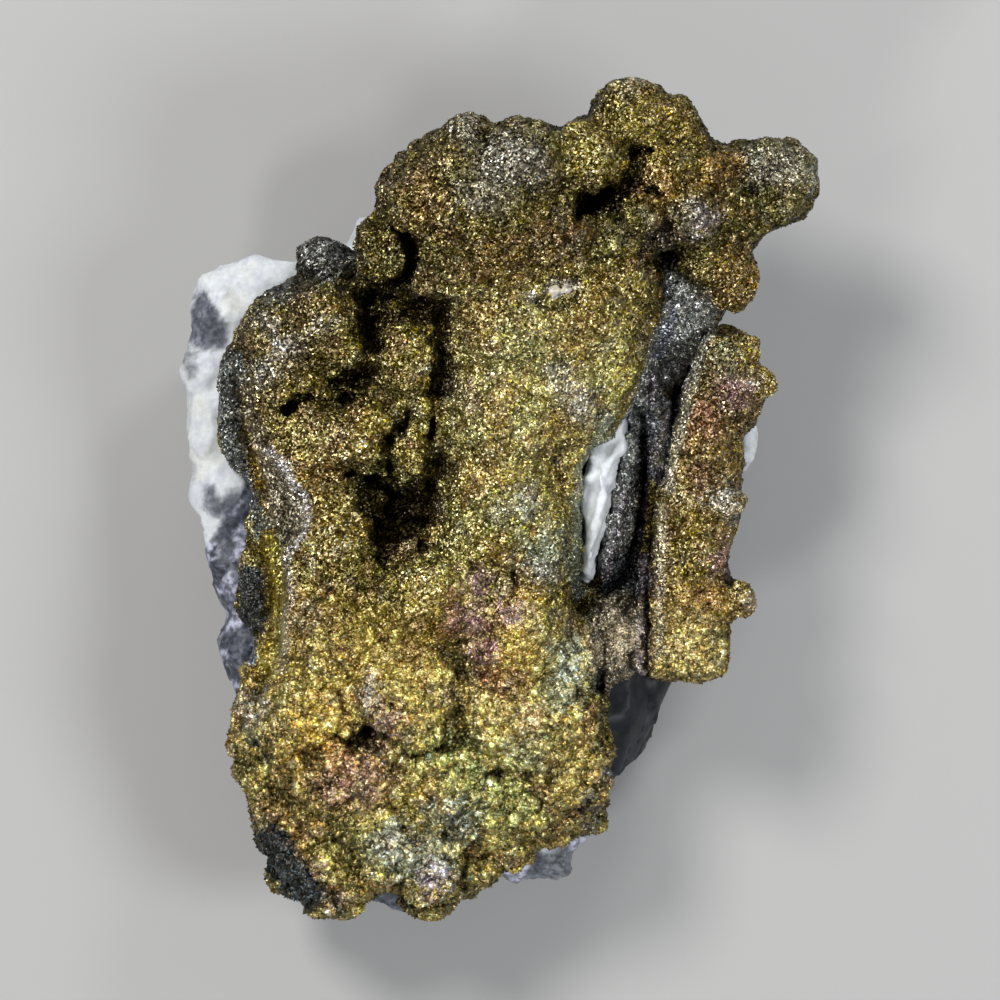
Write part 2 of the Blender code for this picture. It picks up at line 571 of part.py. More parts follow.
def make_crust(neighbours):
    lumps = DOME_LUMPS + KNOB_LUMPS + PANEL_LUMPS + WEST_LUMPS + SOUTH_LUMPS + CLEFT_LUMPS
    rim_lumps = [(x, y, RIM_HEIGHT, RIM_RADIUS, RIM_RADIUS, RIM_DEPTH)
                 for x, y in along(RIM, RIM_SPACING)]
    crust = fuse("crust", [
        slab("skirt", SKIRT_OUTLINE, SKIRT_LEVELS, SKIRT_EDGE),
        slab("body", BODY_OUTLINE, BODY_LEVELS, BODY_EDGE),
        ellipsoids("lumps", lumps),
        ellipsoids("rim", rim_lumps)], smoothing=4)
    grown = [nodules(crust, SEED + row, *rule) for row, rule in enumerate(CRUST_NODULES)]
    crust = fuse("crust", [crust] + grown)
    cutters = [ellipsoids("hollows", HOLLOWS, rising=False)]
    cutters += [groove_cutter("groove", *groove) for groove in GROOVES]
    carve(crust, fuse("hollow", cutters, voxel=FINE_VOXEL, smoothing=1, one_shell=False))
    crust = fuse("crust", [crust], smoothing=1)
    thin_out(crust, CRUST_FACES)
    for neighbour in neighbours:
        stand_clear(crust, neighbour)
    return crust


def along(line, step):
    """Points along a line of (x, y), no further apart than step."""
    points = [line[0]]
    for (x0, y0), (x1, y1) in zip(line, line[1:]):
        steps = max(1, math.ceil(math.hypot(x1 - x0, y1 - y0) / step))
        points += [(x0 + part / steps * (x1 - x0), y0 + part / steps * (y1 - y0))
                   for part in range(1, steps + 1)]
    return points


def make_wall(neighbours):
    wall = fuse("wall", [
        slab("wall_slab", WALL_OUTLINE, WALL_LEVELS, WALL_EDGE),
        ellipsoids("wall_lumps", WALL_LUMPS)], smoothing=3)
    wall = fuse("wall", [wall, nodules(wall, SEED, *WALL_NODULES)], smoothing=1)
    shave(wall, [WALL_END])
    thin_out(wall, WALL_FACES)
    for neighbour in neighbours:
        stand_clear(wall, neighbour)
    return wall


def make_grains(crust):
    form = bmesh.new()
    for x, y, z, across, turn in GRAINS:
        place = Matrix.Translation(Vector((x, y, z)) * MM)
        tilt = Matrix.Rotation(turn, 4, "Z") @ Matrix.Rotation(GRAIN_LEAN, 4, "X")
        bmesh.ops.create_cube(form, size=across * MM * GRAIN_EDGE, matrix=place @ tilt)
    grains = from_bmesh("grains", form)
    grains = fuse("grains", [grains], voxel=GRAIN_VOXEL, smoothing=1)
    thin_out(grains, GRAIN_FACES)
    stand_clear(grains, crust)
    return grains


def centre(pieces):
    """Moves the whole so that its box is centred on the origin and stands on z = 0."""
    corners = [vert.co for piece in pieces for vert in piece.data.vertices]
    lows = [min(corner[axis] for corner in corners) for axis in range(3)]
    highs = [max(corner[axis] for corner in corners) for axis in range(3)]
    middle = Vector(((lows[0] + highs[0]) / 2, (lows[1] + highs[1]) / 2, lows[2]))
    for piece in pieces:
        piece.data.transform(Matrix.Translation(-middle))


def finish(piece, name, look, group):
    """Names the finished piece, gives it its finish and moves it to the object's group."""
    piece.name = name
    piece.data.name = name
    piece.data.materials.clear()
    piece.data.materials.append(look)
    bpy.context.scene.collection.objects.unlink(piece)
    group.objects.link(piece)


def main():
    clear_scene()
    specimen = collection("rainbow_pyrite")
    slate = make_slate()
    calcite = make_calcite(slate)
    crust = make_crust([slate, calcite])
    wall = make_wall([slate, calcite, crust])
    grains = make_grains(crust)
    centre([slate, calcite, crust, wall, grains])
    gold = material("druse_gold", (0.36, 0.27, 0.10), 1.0, 0.35)
    brown = material("druse_brown", (0.27, 0.19, 0.08), 1.0, 0.38)
    finish(slate, "slate_matrix", material("slate", (0.045, 0.050, 0.060), 0.0, 0.55), specimen)
    finish(calcite, "calcite_layer", material("calcite", (0.66, 0.68, 0.70), 0.0, 0.45), specimen)
    finish(crust, "pyrite_crust", gold, specimen)
    finish(wall, "pyrite_wall", brown, specimen)
    finish(grains, "calcite_grains", material("grains", (0.60, 0.58, 0.52), 0.0, 0.3), specimen)


main()
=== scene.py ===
"""Looks of the rainbow pyrite: glittering druse, calcite and slate, seen from straight above.

Places (x, y, z) and sizes in the tables are in millimetres from the middle of the photograph's
frame, heights above the surface that the specimen rests on. One pixel of the photograph is
0.1 mm. Noises and cells that are read with the same seed are the same noise.
"""

import math

import bmesh
import bpy
import numpy as np
from mathutils import Matrix, Vector
from mathutils.bvhtree import BVHTree


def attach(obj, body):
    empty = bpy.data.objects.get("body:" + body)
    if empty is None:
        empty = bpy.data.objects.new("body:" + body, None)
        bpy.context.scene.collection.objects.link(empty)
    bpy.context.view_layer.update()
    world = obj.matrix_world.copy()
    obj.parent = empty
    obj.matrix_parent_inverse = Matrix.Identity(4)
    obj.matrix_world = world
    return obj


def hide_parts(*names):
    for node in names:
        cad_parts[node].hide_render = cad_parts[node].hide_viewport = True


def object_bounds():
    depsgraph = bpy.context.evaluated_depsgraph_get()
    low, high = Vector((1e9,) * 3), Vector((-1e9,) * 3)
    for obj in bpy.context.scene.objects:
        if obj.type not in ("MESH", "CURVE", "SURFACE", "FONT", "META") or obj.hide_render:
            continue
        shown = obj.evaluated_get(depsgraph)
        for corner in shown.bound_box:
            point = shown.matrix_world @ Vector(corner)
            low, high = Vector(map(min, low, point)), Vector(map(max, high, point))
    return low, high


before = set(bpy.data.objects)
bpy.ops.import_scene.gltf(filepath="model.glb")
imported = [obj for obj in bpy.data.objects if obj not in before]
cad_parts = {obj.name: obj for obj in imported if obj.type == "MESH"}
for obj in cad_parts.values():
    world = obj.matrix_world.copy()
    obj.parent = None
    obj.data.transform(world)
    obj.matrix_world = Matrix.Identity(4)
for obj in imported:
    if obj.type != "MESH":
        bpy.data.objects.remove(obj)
cad_low, cad_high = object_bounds()

MM = 0.001
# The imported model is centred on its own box, this far from the photograph's middle.
SHIFT = np.array([0.29, 0.18, 0.0])
# The solids' box, which nothing that is seen may leave.
BOX_LOW = np.array(cad_low) / MM - SHIFT + 0.01
BOX_HIGH = np.array(cad_high) / MM - SHIFT - 0.01
# Turns the grids of noise and cells away from the axes.
TURN = np.array(Matrix.Rotation(0.7, 3, Vector((1.0, 2.0, 3.0))))
NEIGHBOURS = np.array([(i, j, k) for i in (-1, 0, 1) for j in (-1, 0, 1) for k in (-1, 0, 1)])
# Factors and shifts that scatter a cell's numbers, and the bits that are kept.
CELL_FACTORS = (73856093, 19349663, 83492791)
SEED_FACTOR = 2654435761
HASH_STEPS = ((15, 2246822519), (13, 3266489917), (16, 1))
KEPT_BITS = 0xFFFFFFFF

# Nodules of the druse as cells: their size and seed.
NODULE = (1.7, 3)
FOOT_LUMP = (2.6, 5)
BEAD = (1.05, 9)
# How far below the middle the blocky foot begins and is fully there.
FOOT = (14.0, 28.0)
# Where the raised rim fades, below the middle.
RIM_FADE = (3.5, 7.0)
# Distances from the groove where crystals and sparkle begin.
GROOVE_CLEAR = (0.5, 0.9)
# Grains of the glitter: their size above and at the foot, where in the picture the one begins to
# turn into the other and has done so, how much they tilt, and how much calmer the foot is.
GRAIN_SIZE = 0.17
FOOT_GRAIN_SIZE = 0.27
FINE_ABOVE = -6.0
COARSE_BELOW = -24.0
GRAIN_TILT = 1.45
FOOT_CALM = 0.40
# Cells that scatter the borders of the colours, and the strength of the patches of tarnish and painted
# sheen.
DITHER = 0.3
GRAINY = 0.45
# Hollows: the least wall left under them, the least depth, the depth where nothing lies below,
# and how fine and how ragged their cutter is.
LEAST_WALL = 0.8
LEAST_CUT = 0.2
OPEN_CUT = 9.0
CUTTER_VOXEL = 0.25
CUTTER_RAGS = 1.1
# How fine the druse's skin is, and a height above everything.
DRUSE_VOXEL = 0.40
ABOVE_ALL = 60.0
# Directions and distances in which the sky is looked for, and the rise that doesn't count.
SKY_DIRECTIONS = 12
SKY_REACHES = (0.6, 1.0, 1.5, 2.2, 3.2, 4.5, 6.5, 9.0)
SKY_SLACK = 0.25


# Colours, linear red, green, blue.
OLIVE = (0.30, 0.215, 0.035)
GOLD = (0.70, 0.485, 0.110)
PALE_GOLD = (0.82, 0.67, 0.30)
RUST = (0.48, 0.24, 0.065)
BROWN = (0.25, 0.155, 0.065)
SILVER = (0.58, 0.53, 0.45)
TEAL = (0.47, 0.53, 0.41)
GREEN = (0.52, 0.53, 0.20)
PURPLE = (0.52, 0.27, 0.36)
LILAC = (0.74, 0.62, 0.72)
MAROON = (0.44, 0.17, 0.12)
ORANGE = (0.88, 0.54, 0.13)
STEEL = (0.30, 0.32, 0.30)
BLUE_BLACK = (0.095, 0.11, 0.115)
# The cleft's own grey, lightened to make up for the shade in the cleft: partly painted light.
CLEFT_GREY = (0.66, 0.68, 0.65)
CLEFT_BLUE = (0.52, 0.57, 0.66)
CLEFT_BROWN = (0.45, 0.37, 0.265)
RIDGE_GREY = (0.90, 0.79, 0.74)
DULL_BROWN = (0.62, 0.53, 0.40)
GROOVE_GOLD = (0.55, 0.41, 0.085)
BEIGE = (0.68, 0.61, 0.45)
# Black painted as shade, in the deep slots and on the calcite under the druse.
BLACK = (0.012, 0.012, 0.014)


def hashed(cell, seed):
    """Repeatable numbers from 0 to 1 for whole-number cells."""
    first, second, third = CELL_FACTORS
    key = cell[..., 0] * first ^ cell[..., 1] * second ^ cell[..., 2] * third
    key = (key ^ (seed * SEED_FACTOR)) & KEPT_BITS
    for shift, factor in HASH_STEPS:
        key = (key ^ (key >> shift)) * factor & KEPT_BITS
    return key / (KEPT_BITS + 1)


def grid_cell(points, size):
    """The turned grid's cell that each point is in."""
    return np.floor(points @ TURN / size).astype(np.int64)


def noise(points, size, seed=0):
    """Smooth noise from 0 to 1 with blobs of the size in millimetres."""
    cell = grid_cell(points, size)
    part = points @ TURN / size - cell
    part = part * part * (3.0 - 2.0 * part)
    total = np.zeros(len(points))
    for corner in np.ndindex(2, 2, 2):
        weight = np.prod(np.where(corner, part, 1.0 - part), axis=1)
        total += weight * hashed(cell + np.array(corner), seed)
    return total


def rough_noise(points, size, octaves, seed):
    """Noise from 0 to 1 with finer and weaker noises added to it, each of half the size."""
    total = np.zeros(len(points))
    for octave in range(octaves):
        total += noise(points, size / 2 ** octave, seed + octave) / 2 ** octave
    return total / (2.0 - 2.0 ** (1 - octaves))


def wave(points, size, octaves, seed):
    """Rough noise from -0.5 to 0.5."""
    return rough_noise(points, size, octaves, seed) - 0.5


def cells(points, size, seed):
    """Distance to the nearest seed of a jittered grid, how much further the second is, and a number."""
    scaled = points @ TURN / size
    base = grid_cell(points, size)
    nearest = np.full(len(points), 9.0)
    second = np.full(len(points), 9.0)
    number = np.zeros(len(points))
    for step in NEIGHBOURS:
        cell = base + step
        spot = cell + np.stack([hashed(cell, seed + axis) for axis in range(3)], axis=1)
        gap = np.linalg.norm(spot - scaled, axis=1)
        closer = gap < nearest
        second = np.where(closer, nearest, np.minimum(second, gap))
        nearest = np.where(closer, gap, nearest)
        number = np.where(closer, hashed(cell, seed + 7), number)
    return nearest, second - nearest, number


def ramp(value, start, end):
    """From 0 at the start to 1 at the end, with soft ends."""
    part = np.clip((value - start) / (end - start), 0.0, 1.0)
    return part * part * (3.0 - 2.0 * part)


def glow(x, y, middle, width):
    """From 1 at the middle to 0 far from it, with a width in x and in y."""
    return np.exp(-((x - middle[0]) / width[0]) ** 2 - ((y - middle[1]) / width[1]) ** 2)


def off_line(points, line):
    """Distance in plan from each point to a line of (x, y)."""
    nearest = np.full(len(points), 1e9)
    for start, end in zip(line, line[1:]):
        a = np.array(start)
        run = np.array(end) - a
        part = np.clip(((points[:, :2] - a) @ run) / (run @ run), 0.0, 1.0)
        gap = np.linalg.norm(points[:, :2] - a - part[:, None] * run, axis=1)
        nearest = np.minimum(nearest, gap)
    return nearest


def inside(points, outline):
    """Distance in plan from each point to an outline of (x, y): above zero within it."""
    corners = np.array(outline + outline[:1])
    within = np.zeros(len(points), dtype=bool)
    x, y = points[:, 0], points[:, 1]
    for (ax, ay), (bx, by) in zip(corners, corners[1:]):
        if ay != by:
            across = (ay > y) != (by > y)
            within ^= across & (x < ax + (y - ay) * (bx - ax) / (by - ay))
    return np.where(within, 1.0, -1.0) * off_line(points, corners)


def triples(items, name, kind=np.float32):
    """What a mesh stores as three numbers for each item."""
    flat = np.empty(len(items) * 3, dtype=kind)
    items.foreach_get(name, flat)
    return flat.reshape(-1, 3)


def coordinates(mesh):
    """Vertices in the millimetres of the tables."""
    return triples(mesh.vertices, "co").astype(float) / MM - SHIFT


def triangles(mesh):
    mesh.calc_loop_triangles()
    return triples(mesh.loop_triangles, "vertices", np.int32)


def surface(piece):
    """A piece's mesh, its vertices and their normals."""
    mesh = piece.data
    return mesh, coordinates(mesh), triples(mesh.vertex_normals, "vector").astype(float)


def move_to(mesh, points):
    """Moves the vertices to points in the millimetres of the tables, held inside the box."""
    held = np.clip(points, BOX_LOW, BOX_HIGH)
    mesh.vertices.foreach_set("co", ((held + SHIFT) * MM).astype(np.float32).ravel())
    mesh.update()


def pushed(mesh, points, facing, push):
    """Moves the vertices along their normals, and returns where they went."""
    points = points + facing * push[:, None]
    move_to(mesh, points)
    return points


def probe(node):
    """Tree for finding the surface of a CAD node."""
    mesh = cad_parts[node].data
    mesh.calc_loop_triangles()
    return BVHTree.FromPolygons(
        [vertex.co for vertex in mesh.vertices],
        [triangle.vertices for triangle in mesh.loop_triangles],
    )


def top_of(tree, x, y, below=ABOVE_ALL):
    """Height of the first surface met on the way down at a place, or None beside it."""
    start = Vector(((x + SHIFT[0]) * MM, (y + SHIFT[1]) * MM, below * MM))
    hit = tree.ray_cast(start, Vector((0.0, 0.0, -1.0)))[0]
    return None if hit is None else hit.z / MM


def unit_ball():
    form = bmesh.new()
    bmesh.ops.create_icosphere(form, subdivisions=3, radius=1.0)
    points = np.array([vertex.co for vertex in form.verts])
    faces = np.array([[vertex.index for vertex in face.verts] for face in form.faces])
    form.free()
    return points, faces


BALL_POINTS, BALL_FACES = unit_ball()


def ball(place, radii, turn=0.0):
    """An ellipsoid turned about the vertical, as points and triangles."""
    angle = math.radians(turn)
    along = (math.cos(angle), -math.sin(angle), 0)
    across = (math.sin(angle), math.cos(angle), 0)
    spin = np.array([along, across, (0, 0, 1)])
    return (BALL_POINTS * np.array(radii)) @ spin.T + np.array(place), BALL_FACES


def mesh_from(name, points, faces):
    """A mesh of triangles from points in the millimetres of the tables."""
    mesh = bpy.data.meshes.new(name)
    mesh.vertices.add(len(points))
    mesh.loops.add(faces.size)
    mesh.polygons.add(len(faces))
    mesh.loops.foreach_set("vertex_index", faces.ravel().astype(np.int32))
    mesh.polygons.foreach_set("loop_start", np.arange(0, faces.size, 3, dtype=np.int32))
    move_to(mesh, points)
    mesh.validate()
    return mesh


def placed(name, data):
    """A new object in the scene."""
    made = bpy.data.objects.new(name, data)
    bpy.context.scene.collection.objects.link(made)
    return made


def piece_from(name, shells):
    """A piece made of several closed shells, each as points and triangles."""
    start = np.cumsum([0] + [len(points) for points, faces in shells[:-1]])
    points = np.vstack([points for points, faces in shells])
    rows = np.vstack([faces + first for first, (_, faces) in zip(start, shells)])
    return placed(name, mesh_from(name, points, rows))


def applied(piece):
    """Replaces a piece's mesh by what its modifiers make of it."""
    graph = bpy.context.evaluated_depsgraph_get()
    mesh = bpy.data.meshes.new_from_object(piece.evaluated_get(graph))
    piece.modifiers.clear()
    piece.data = mesh


def remesh(piece, voxel):
    fine = piece.modifiers.new("fine", "REMESH")
    fine.mode = "VOXEL"
    fine.voxel_size = voxel * MM
    applied(piece)


def lump_shells(tree, lumps):
    """Half-sunk round lumps standing out of the surface by their rise."""
    shells = []
    for x, y, rx, ry, rise, *turn in lumps:
        top = top_of(tree, x, y)
        if top is not None:
            rz = 0.9 * min(rx, ry)
            shells.append(ball((x, y, top + rise - rz), (rx, ry, rz), *turn))
    return shells


def steps_along(line, spacing):
    """Places along a line of (x, y), about the spacing apart."""
    corners = [np.array(spot) for spot in line]
    spots = [corners[0]]
    for start, end in zip(corners, corners[1:]):
        count = max(1, int(np.linalg.norm(end - start) / spacing))
        spots += [start + (end - start) * step / count for step in range(1, count + 1)]
    return spots


def room_below(tree, x, y, top):
    """How deep a hollow may go into what is below its top and keep a wall."""
    bottom = top_of(tree, x, y, top - 0.01)
    return OPEN_CUT if bottom is None else top - bottom - LEAST_WALL


def hollows(name, tree, cuts):
    """One ragged cutter of the hollows: each runs along a line with a half width and a depth."""
    shells = []
    draw = np.random.default_rng(8)
    for half, depth, *line in cuts:
        for x, y in steps_along(line, 0.6 * half):
            top = top_of(tree, x, y)
            if top is not None:
                room = room_below(tree, x, y, top)
                if room > LEAST_CUT:
                    wide, long = half * draw.uniform(0.65, 1.25, 2)
                    aside = draw.normal(0.0, 0.22 * half, 2)
                    place = (x + aside[0], y + aside[1], top)
                    radii = (wide, long, min(depth * draw.uniform(0.6, 1.0), room))
                    shells.append(ball(place, radii, draw.uniform(0.0, 180.0)))
    cutter = piece_from(name, shells)
    remesh(cutter, CUTTER_VOXEL)
    mesh, points, facing = surface(cutter)
    pushed(mesh, points, facing, CUTTER_RAGS * wave(points, 1.3, 3, 107))
    return cutter


def skin(name, node, voxel, smoothing, lumps=(), cuts=(), fills=()):
    """A fine closed skin of a CAD node's form, with its lumps, fills and hollows."""
    tree = probe(node)
    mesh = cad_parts[node].data
    shells = [(coordinates(mesh), triangles(mesh))] + lump_shells(tree, lumps)
    shells += [ball(*fill) for fill in fills]
    piece = piece_from(name, shells)
    remesh(piece, voxel)
    soft = piece.modifiers.new("soft", "SMOOTH")
    soft.iterations = smoothing
    applied(piece)
    if cuts:
        cutter = hollows(name + "_cutter", tree, cuts)
        cut = piece.modifiers.new("cut", "BOOLEAN")
        cut.operation = "DIFFERENCE"
        cut.solver = "MANIFOLD"
        cut.object = cutter
        applied(piece)
        bpy.data.objects.remove(cutter)
        remesh(piece, voxel)
    piece.data.name = name
    return piece


class Heights:
    """Height map of the whole specimen from above, for finding how open to the sky a place is, which sets
    the painted shade of the druse.
    """

    cell = 0.35
    low = np.array([-36.0, -46.0])
    shape = (206, 264)

    def __init__(self):
        self.map = np.zeros(self.shape)

    def spot(self, x, y):
        ix = ((x - self.low[0]) / self.cell).astype(int)
        iy = ((y - self.low[1]) / self.cell).astype(int)
        return np.clip(ix, 0, self.shape[0] - 1), np.clip(iy, 0, self.shape[1] - 1)

    def add(self, points):
        np.maximum.at(self.map, self.spot(points[:, 0], points[:, 1]), points[:, 2])

    def openness(self, points):
        """Share of the sky seen from each point, from 0 to 1."""
        x, y, z = points.T
        total = np.zeros(len(points))
        for step in range(SKY_DIRECTIONS):
            angle = 2.0 * math.pi * step / SKY_DIRECTIONS
            rise = np.zeros(len(points))
            for reach in SKY_REACHES:
                spot = self.spot(x + reach * math.cos(angle), y + reach * math.sin(angle))
                rise = np.maximum(rise, (self.map[spot] - z - SKY_SLACK) / reach)
            total += 1.0 - rise / np.sqrt(1.0 + rise * rise)
        return total / SKY_DIRECTIONS


heights = Heights()


def paint(mesh, colours, contrast=0.0):
    """Stores a colour for each vertex, and how much its grains or spots differ in brightness."""
    layer = mesh.color_attributes.new("tint", "FLOAT_COLOR", "POINT")
    rgba = np.zeros((len(mesh.vertices), 4), dtype=np.float32)
    rgba[:, :3] = colours
    rgba[:, 3] = contrast
    layer.data.foreach_set("color", rgba.ravel())


def all_over(points, colour):
    return np.tile(np.array(colour), (len(points), 1))


def mixed(colours, other, share):
    """Colours moved by a share of the way to another colour, or to another row of colours."""
    return colours + (np.array(other) - colours) * share[:, None]


def layered(colours, layers):
    """Colours with layers over them in turn, each another colour and its share."""
    for other, share in layers:
        colours = mixed(colours, other, share)
    return colours


def blotched(colours, points, blotches):
    """Colours with noisy blotches: each a colour, strength, size, octaves, seed and noise range."""
    for colour, strength, size, octaves, seed, low, high in blotches:
        share = strength * ramp(rough_noise(points, size, octaves, seed), low, high)
        colours = mixed(colours, colour, share)
    return colours


def settle(piece, node, look):
    """Gives a piece its material, attaches it to the root body, and hides the CAD node whose place it
    takes.
    """
    piece.data.materials.clear()
    piece.data.materials.append(look)
    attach(piece, "root")
    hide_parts(node)


# Round lumps: x, y, radius x, radius y, rise above the solid, and any turn in degrees.
CRUST_LUMPS = [
    (2.2, 33.6, 4.4, 4.4, 0.5), (8.8, 34, 3.9, 3.5, 0.9, -20), (-3, 36.6, 2.2, 1.8, 0.9),
    (-4, 32.6, 3.3, 3.2, 0.4), (-8, 29.6, 3, 3.4, 0.3, -35), (3.5, 27.6, 3.6, 2.6, 0.2),
    (-2.8, 28.6, 3.2, 2.8, 0.2), (13, 39.2, 3.2, 2.8, 0.5), (17.2, 37.8, 2.4, 2.6, 0.5, -40),
    (12.6, 36.6, 2.2, 1.6, 0.3), (17, 33.2, 2.4, 2, 0.9), (14.3, 28.6, 2.3, 2.4, 0.9),
    (19.3, 28.3, 2.2, 2.5, 0.9), (16.7, 26.4, 1.7, 1.5, 0.4), (20.4, 33, 1.9, 1.8, 0.5),
    (22.9, 33.2, 1.9, 1.7, 0.4), (22.6, 28.9, 2.1, 2.4, 0.5), (26.6, 33.6, 2.5, 2.3, 0.5),
    (29.3, 32.6, 2.3, 2.7, 0.4), (28, 29.2, 2.5, 1.8, 0.3, 10), (23.6, 22.3, 2.3, 2.9, 0.4),
    (12.5, 22.5, 2.6, 2.2, 0.2), (-17.6, 18.2, 3.6, 3.4, 0.5), (-22.4, 13.4, 2.5, 3.3, 0.5, 10),
    (-21.4, 18.9, 2.3, 2, 0.5, 35), (-17.6, 13.4, 2.8, 2, 0.4), (-11.7, 25, 2.9, 3.4, 0.6, 15),
    (-15.5, 22.4, 2.4, 1.6, 0.5, 25), (-18, 6.4, 3, 2.9, 0.8), (-13.4, 8.2, 2.2, 2.5, 0.5),
    (-22.8, 7.8, 1.5, 1.9, 0.5), (-9.2, 14.2, 3.1, 4, 0.6), (-7.4, 8.7, 1.6, 2.2, 0.4, 15),
    (-9, 4.6, 1.6, 2, 0.4), (-16.6, -1.2, 2.2, 2.6, 0.3), (3.6, -7.2, 2.3, 1.7, 0.7),
    (2.3, 0, 2, 1.5, 0.5), (8, 9, 1.9, 1.5, 0.5, 30), (6.4, 11.9, 1.6, 1.4, 0.5),
    (-13, -18.8, 1.3, 2.4, 0.9), (-10.8, -35.7, 2.9, 2.3, 0.9, 10), (-7, -37.4, 2.5, 2.8, 0.9),
    (-5.3, -30.3, 1.6, 1.5, 0.7), (-17.2, -27.3, 2.9, 2.4, 0.6), (-12, -26.4, 1.9, 2.2, 0.6),
    (-17, -36.4, 2.3, 3.2, 0.5, -15), (-3.6, -27, 2.5, 2.2, 0.5), (2, -29.6, 1.8, 2.2, 0.5),
    (7, -28.2, 2.7, 2.4, 0.5), (6.9, -22.4, 2.4, 2.7, 0.5), (0.2, -22.8, 2.3, 2, 0.4),
    (-0.8, -31.8, 2.3, 2.2, 0.5), (8, -16.6, 1.8, 1.9, 0.5), (-7.6, -22.8, 1.9, 2.4, 0.4),
    (-11.4, -10.2, 2.5, 1.9, 0.4), (-7.4, -17.4, 2.6, 2.2, 0.3), (-19.4, -20, 2.5, 2.6, 0.3),
    (-23.6, -21.6, 1.8, 2, 0.5), (-23.4, -27.2, 1.8, 2, 0.4), (-20.8, -31.8, 1.9, 1.5, 0.5),
    (-16.4, -40.6, 1.9, 1.5, 0.4), (-6.9, -40.6, 1.9, 1.3, 0.5), (-1.8, -36.4, 2.3, 1.8, 0.5),
    (5.6, -32.4, 2.4, 1.2, 0.5), (9.2, -13, 1.3, 2, 0.4), (12.2, -14, 1.4, 2.2, 0.4),
]
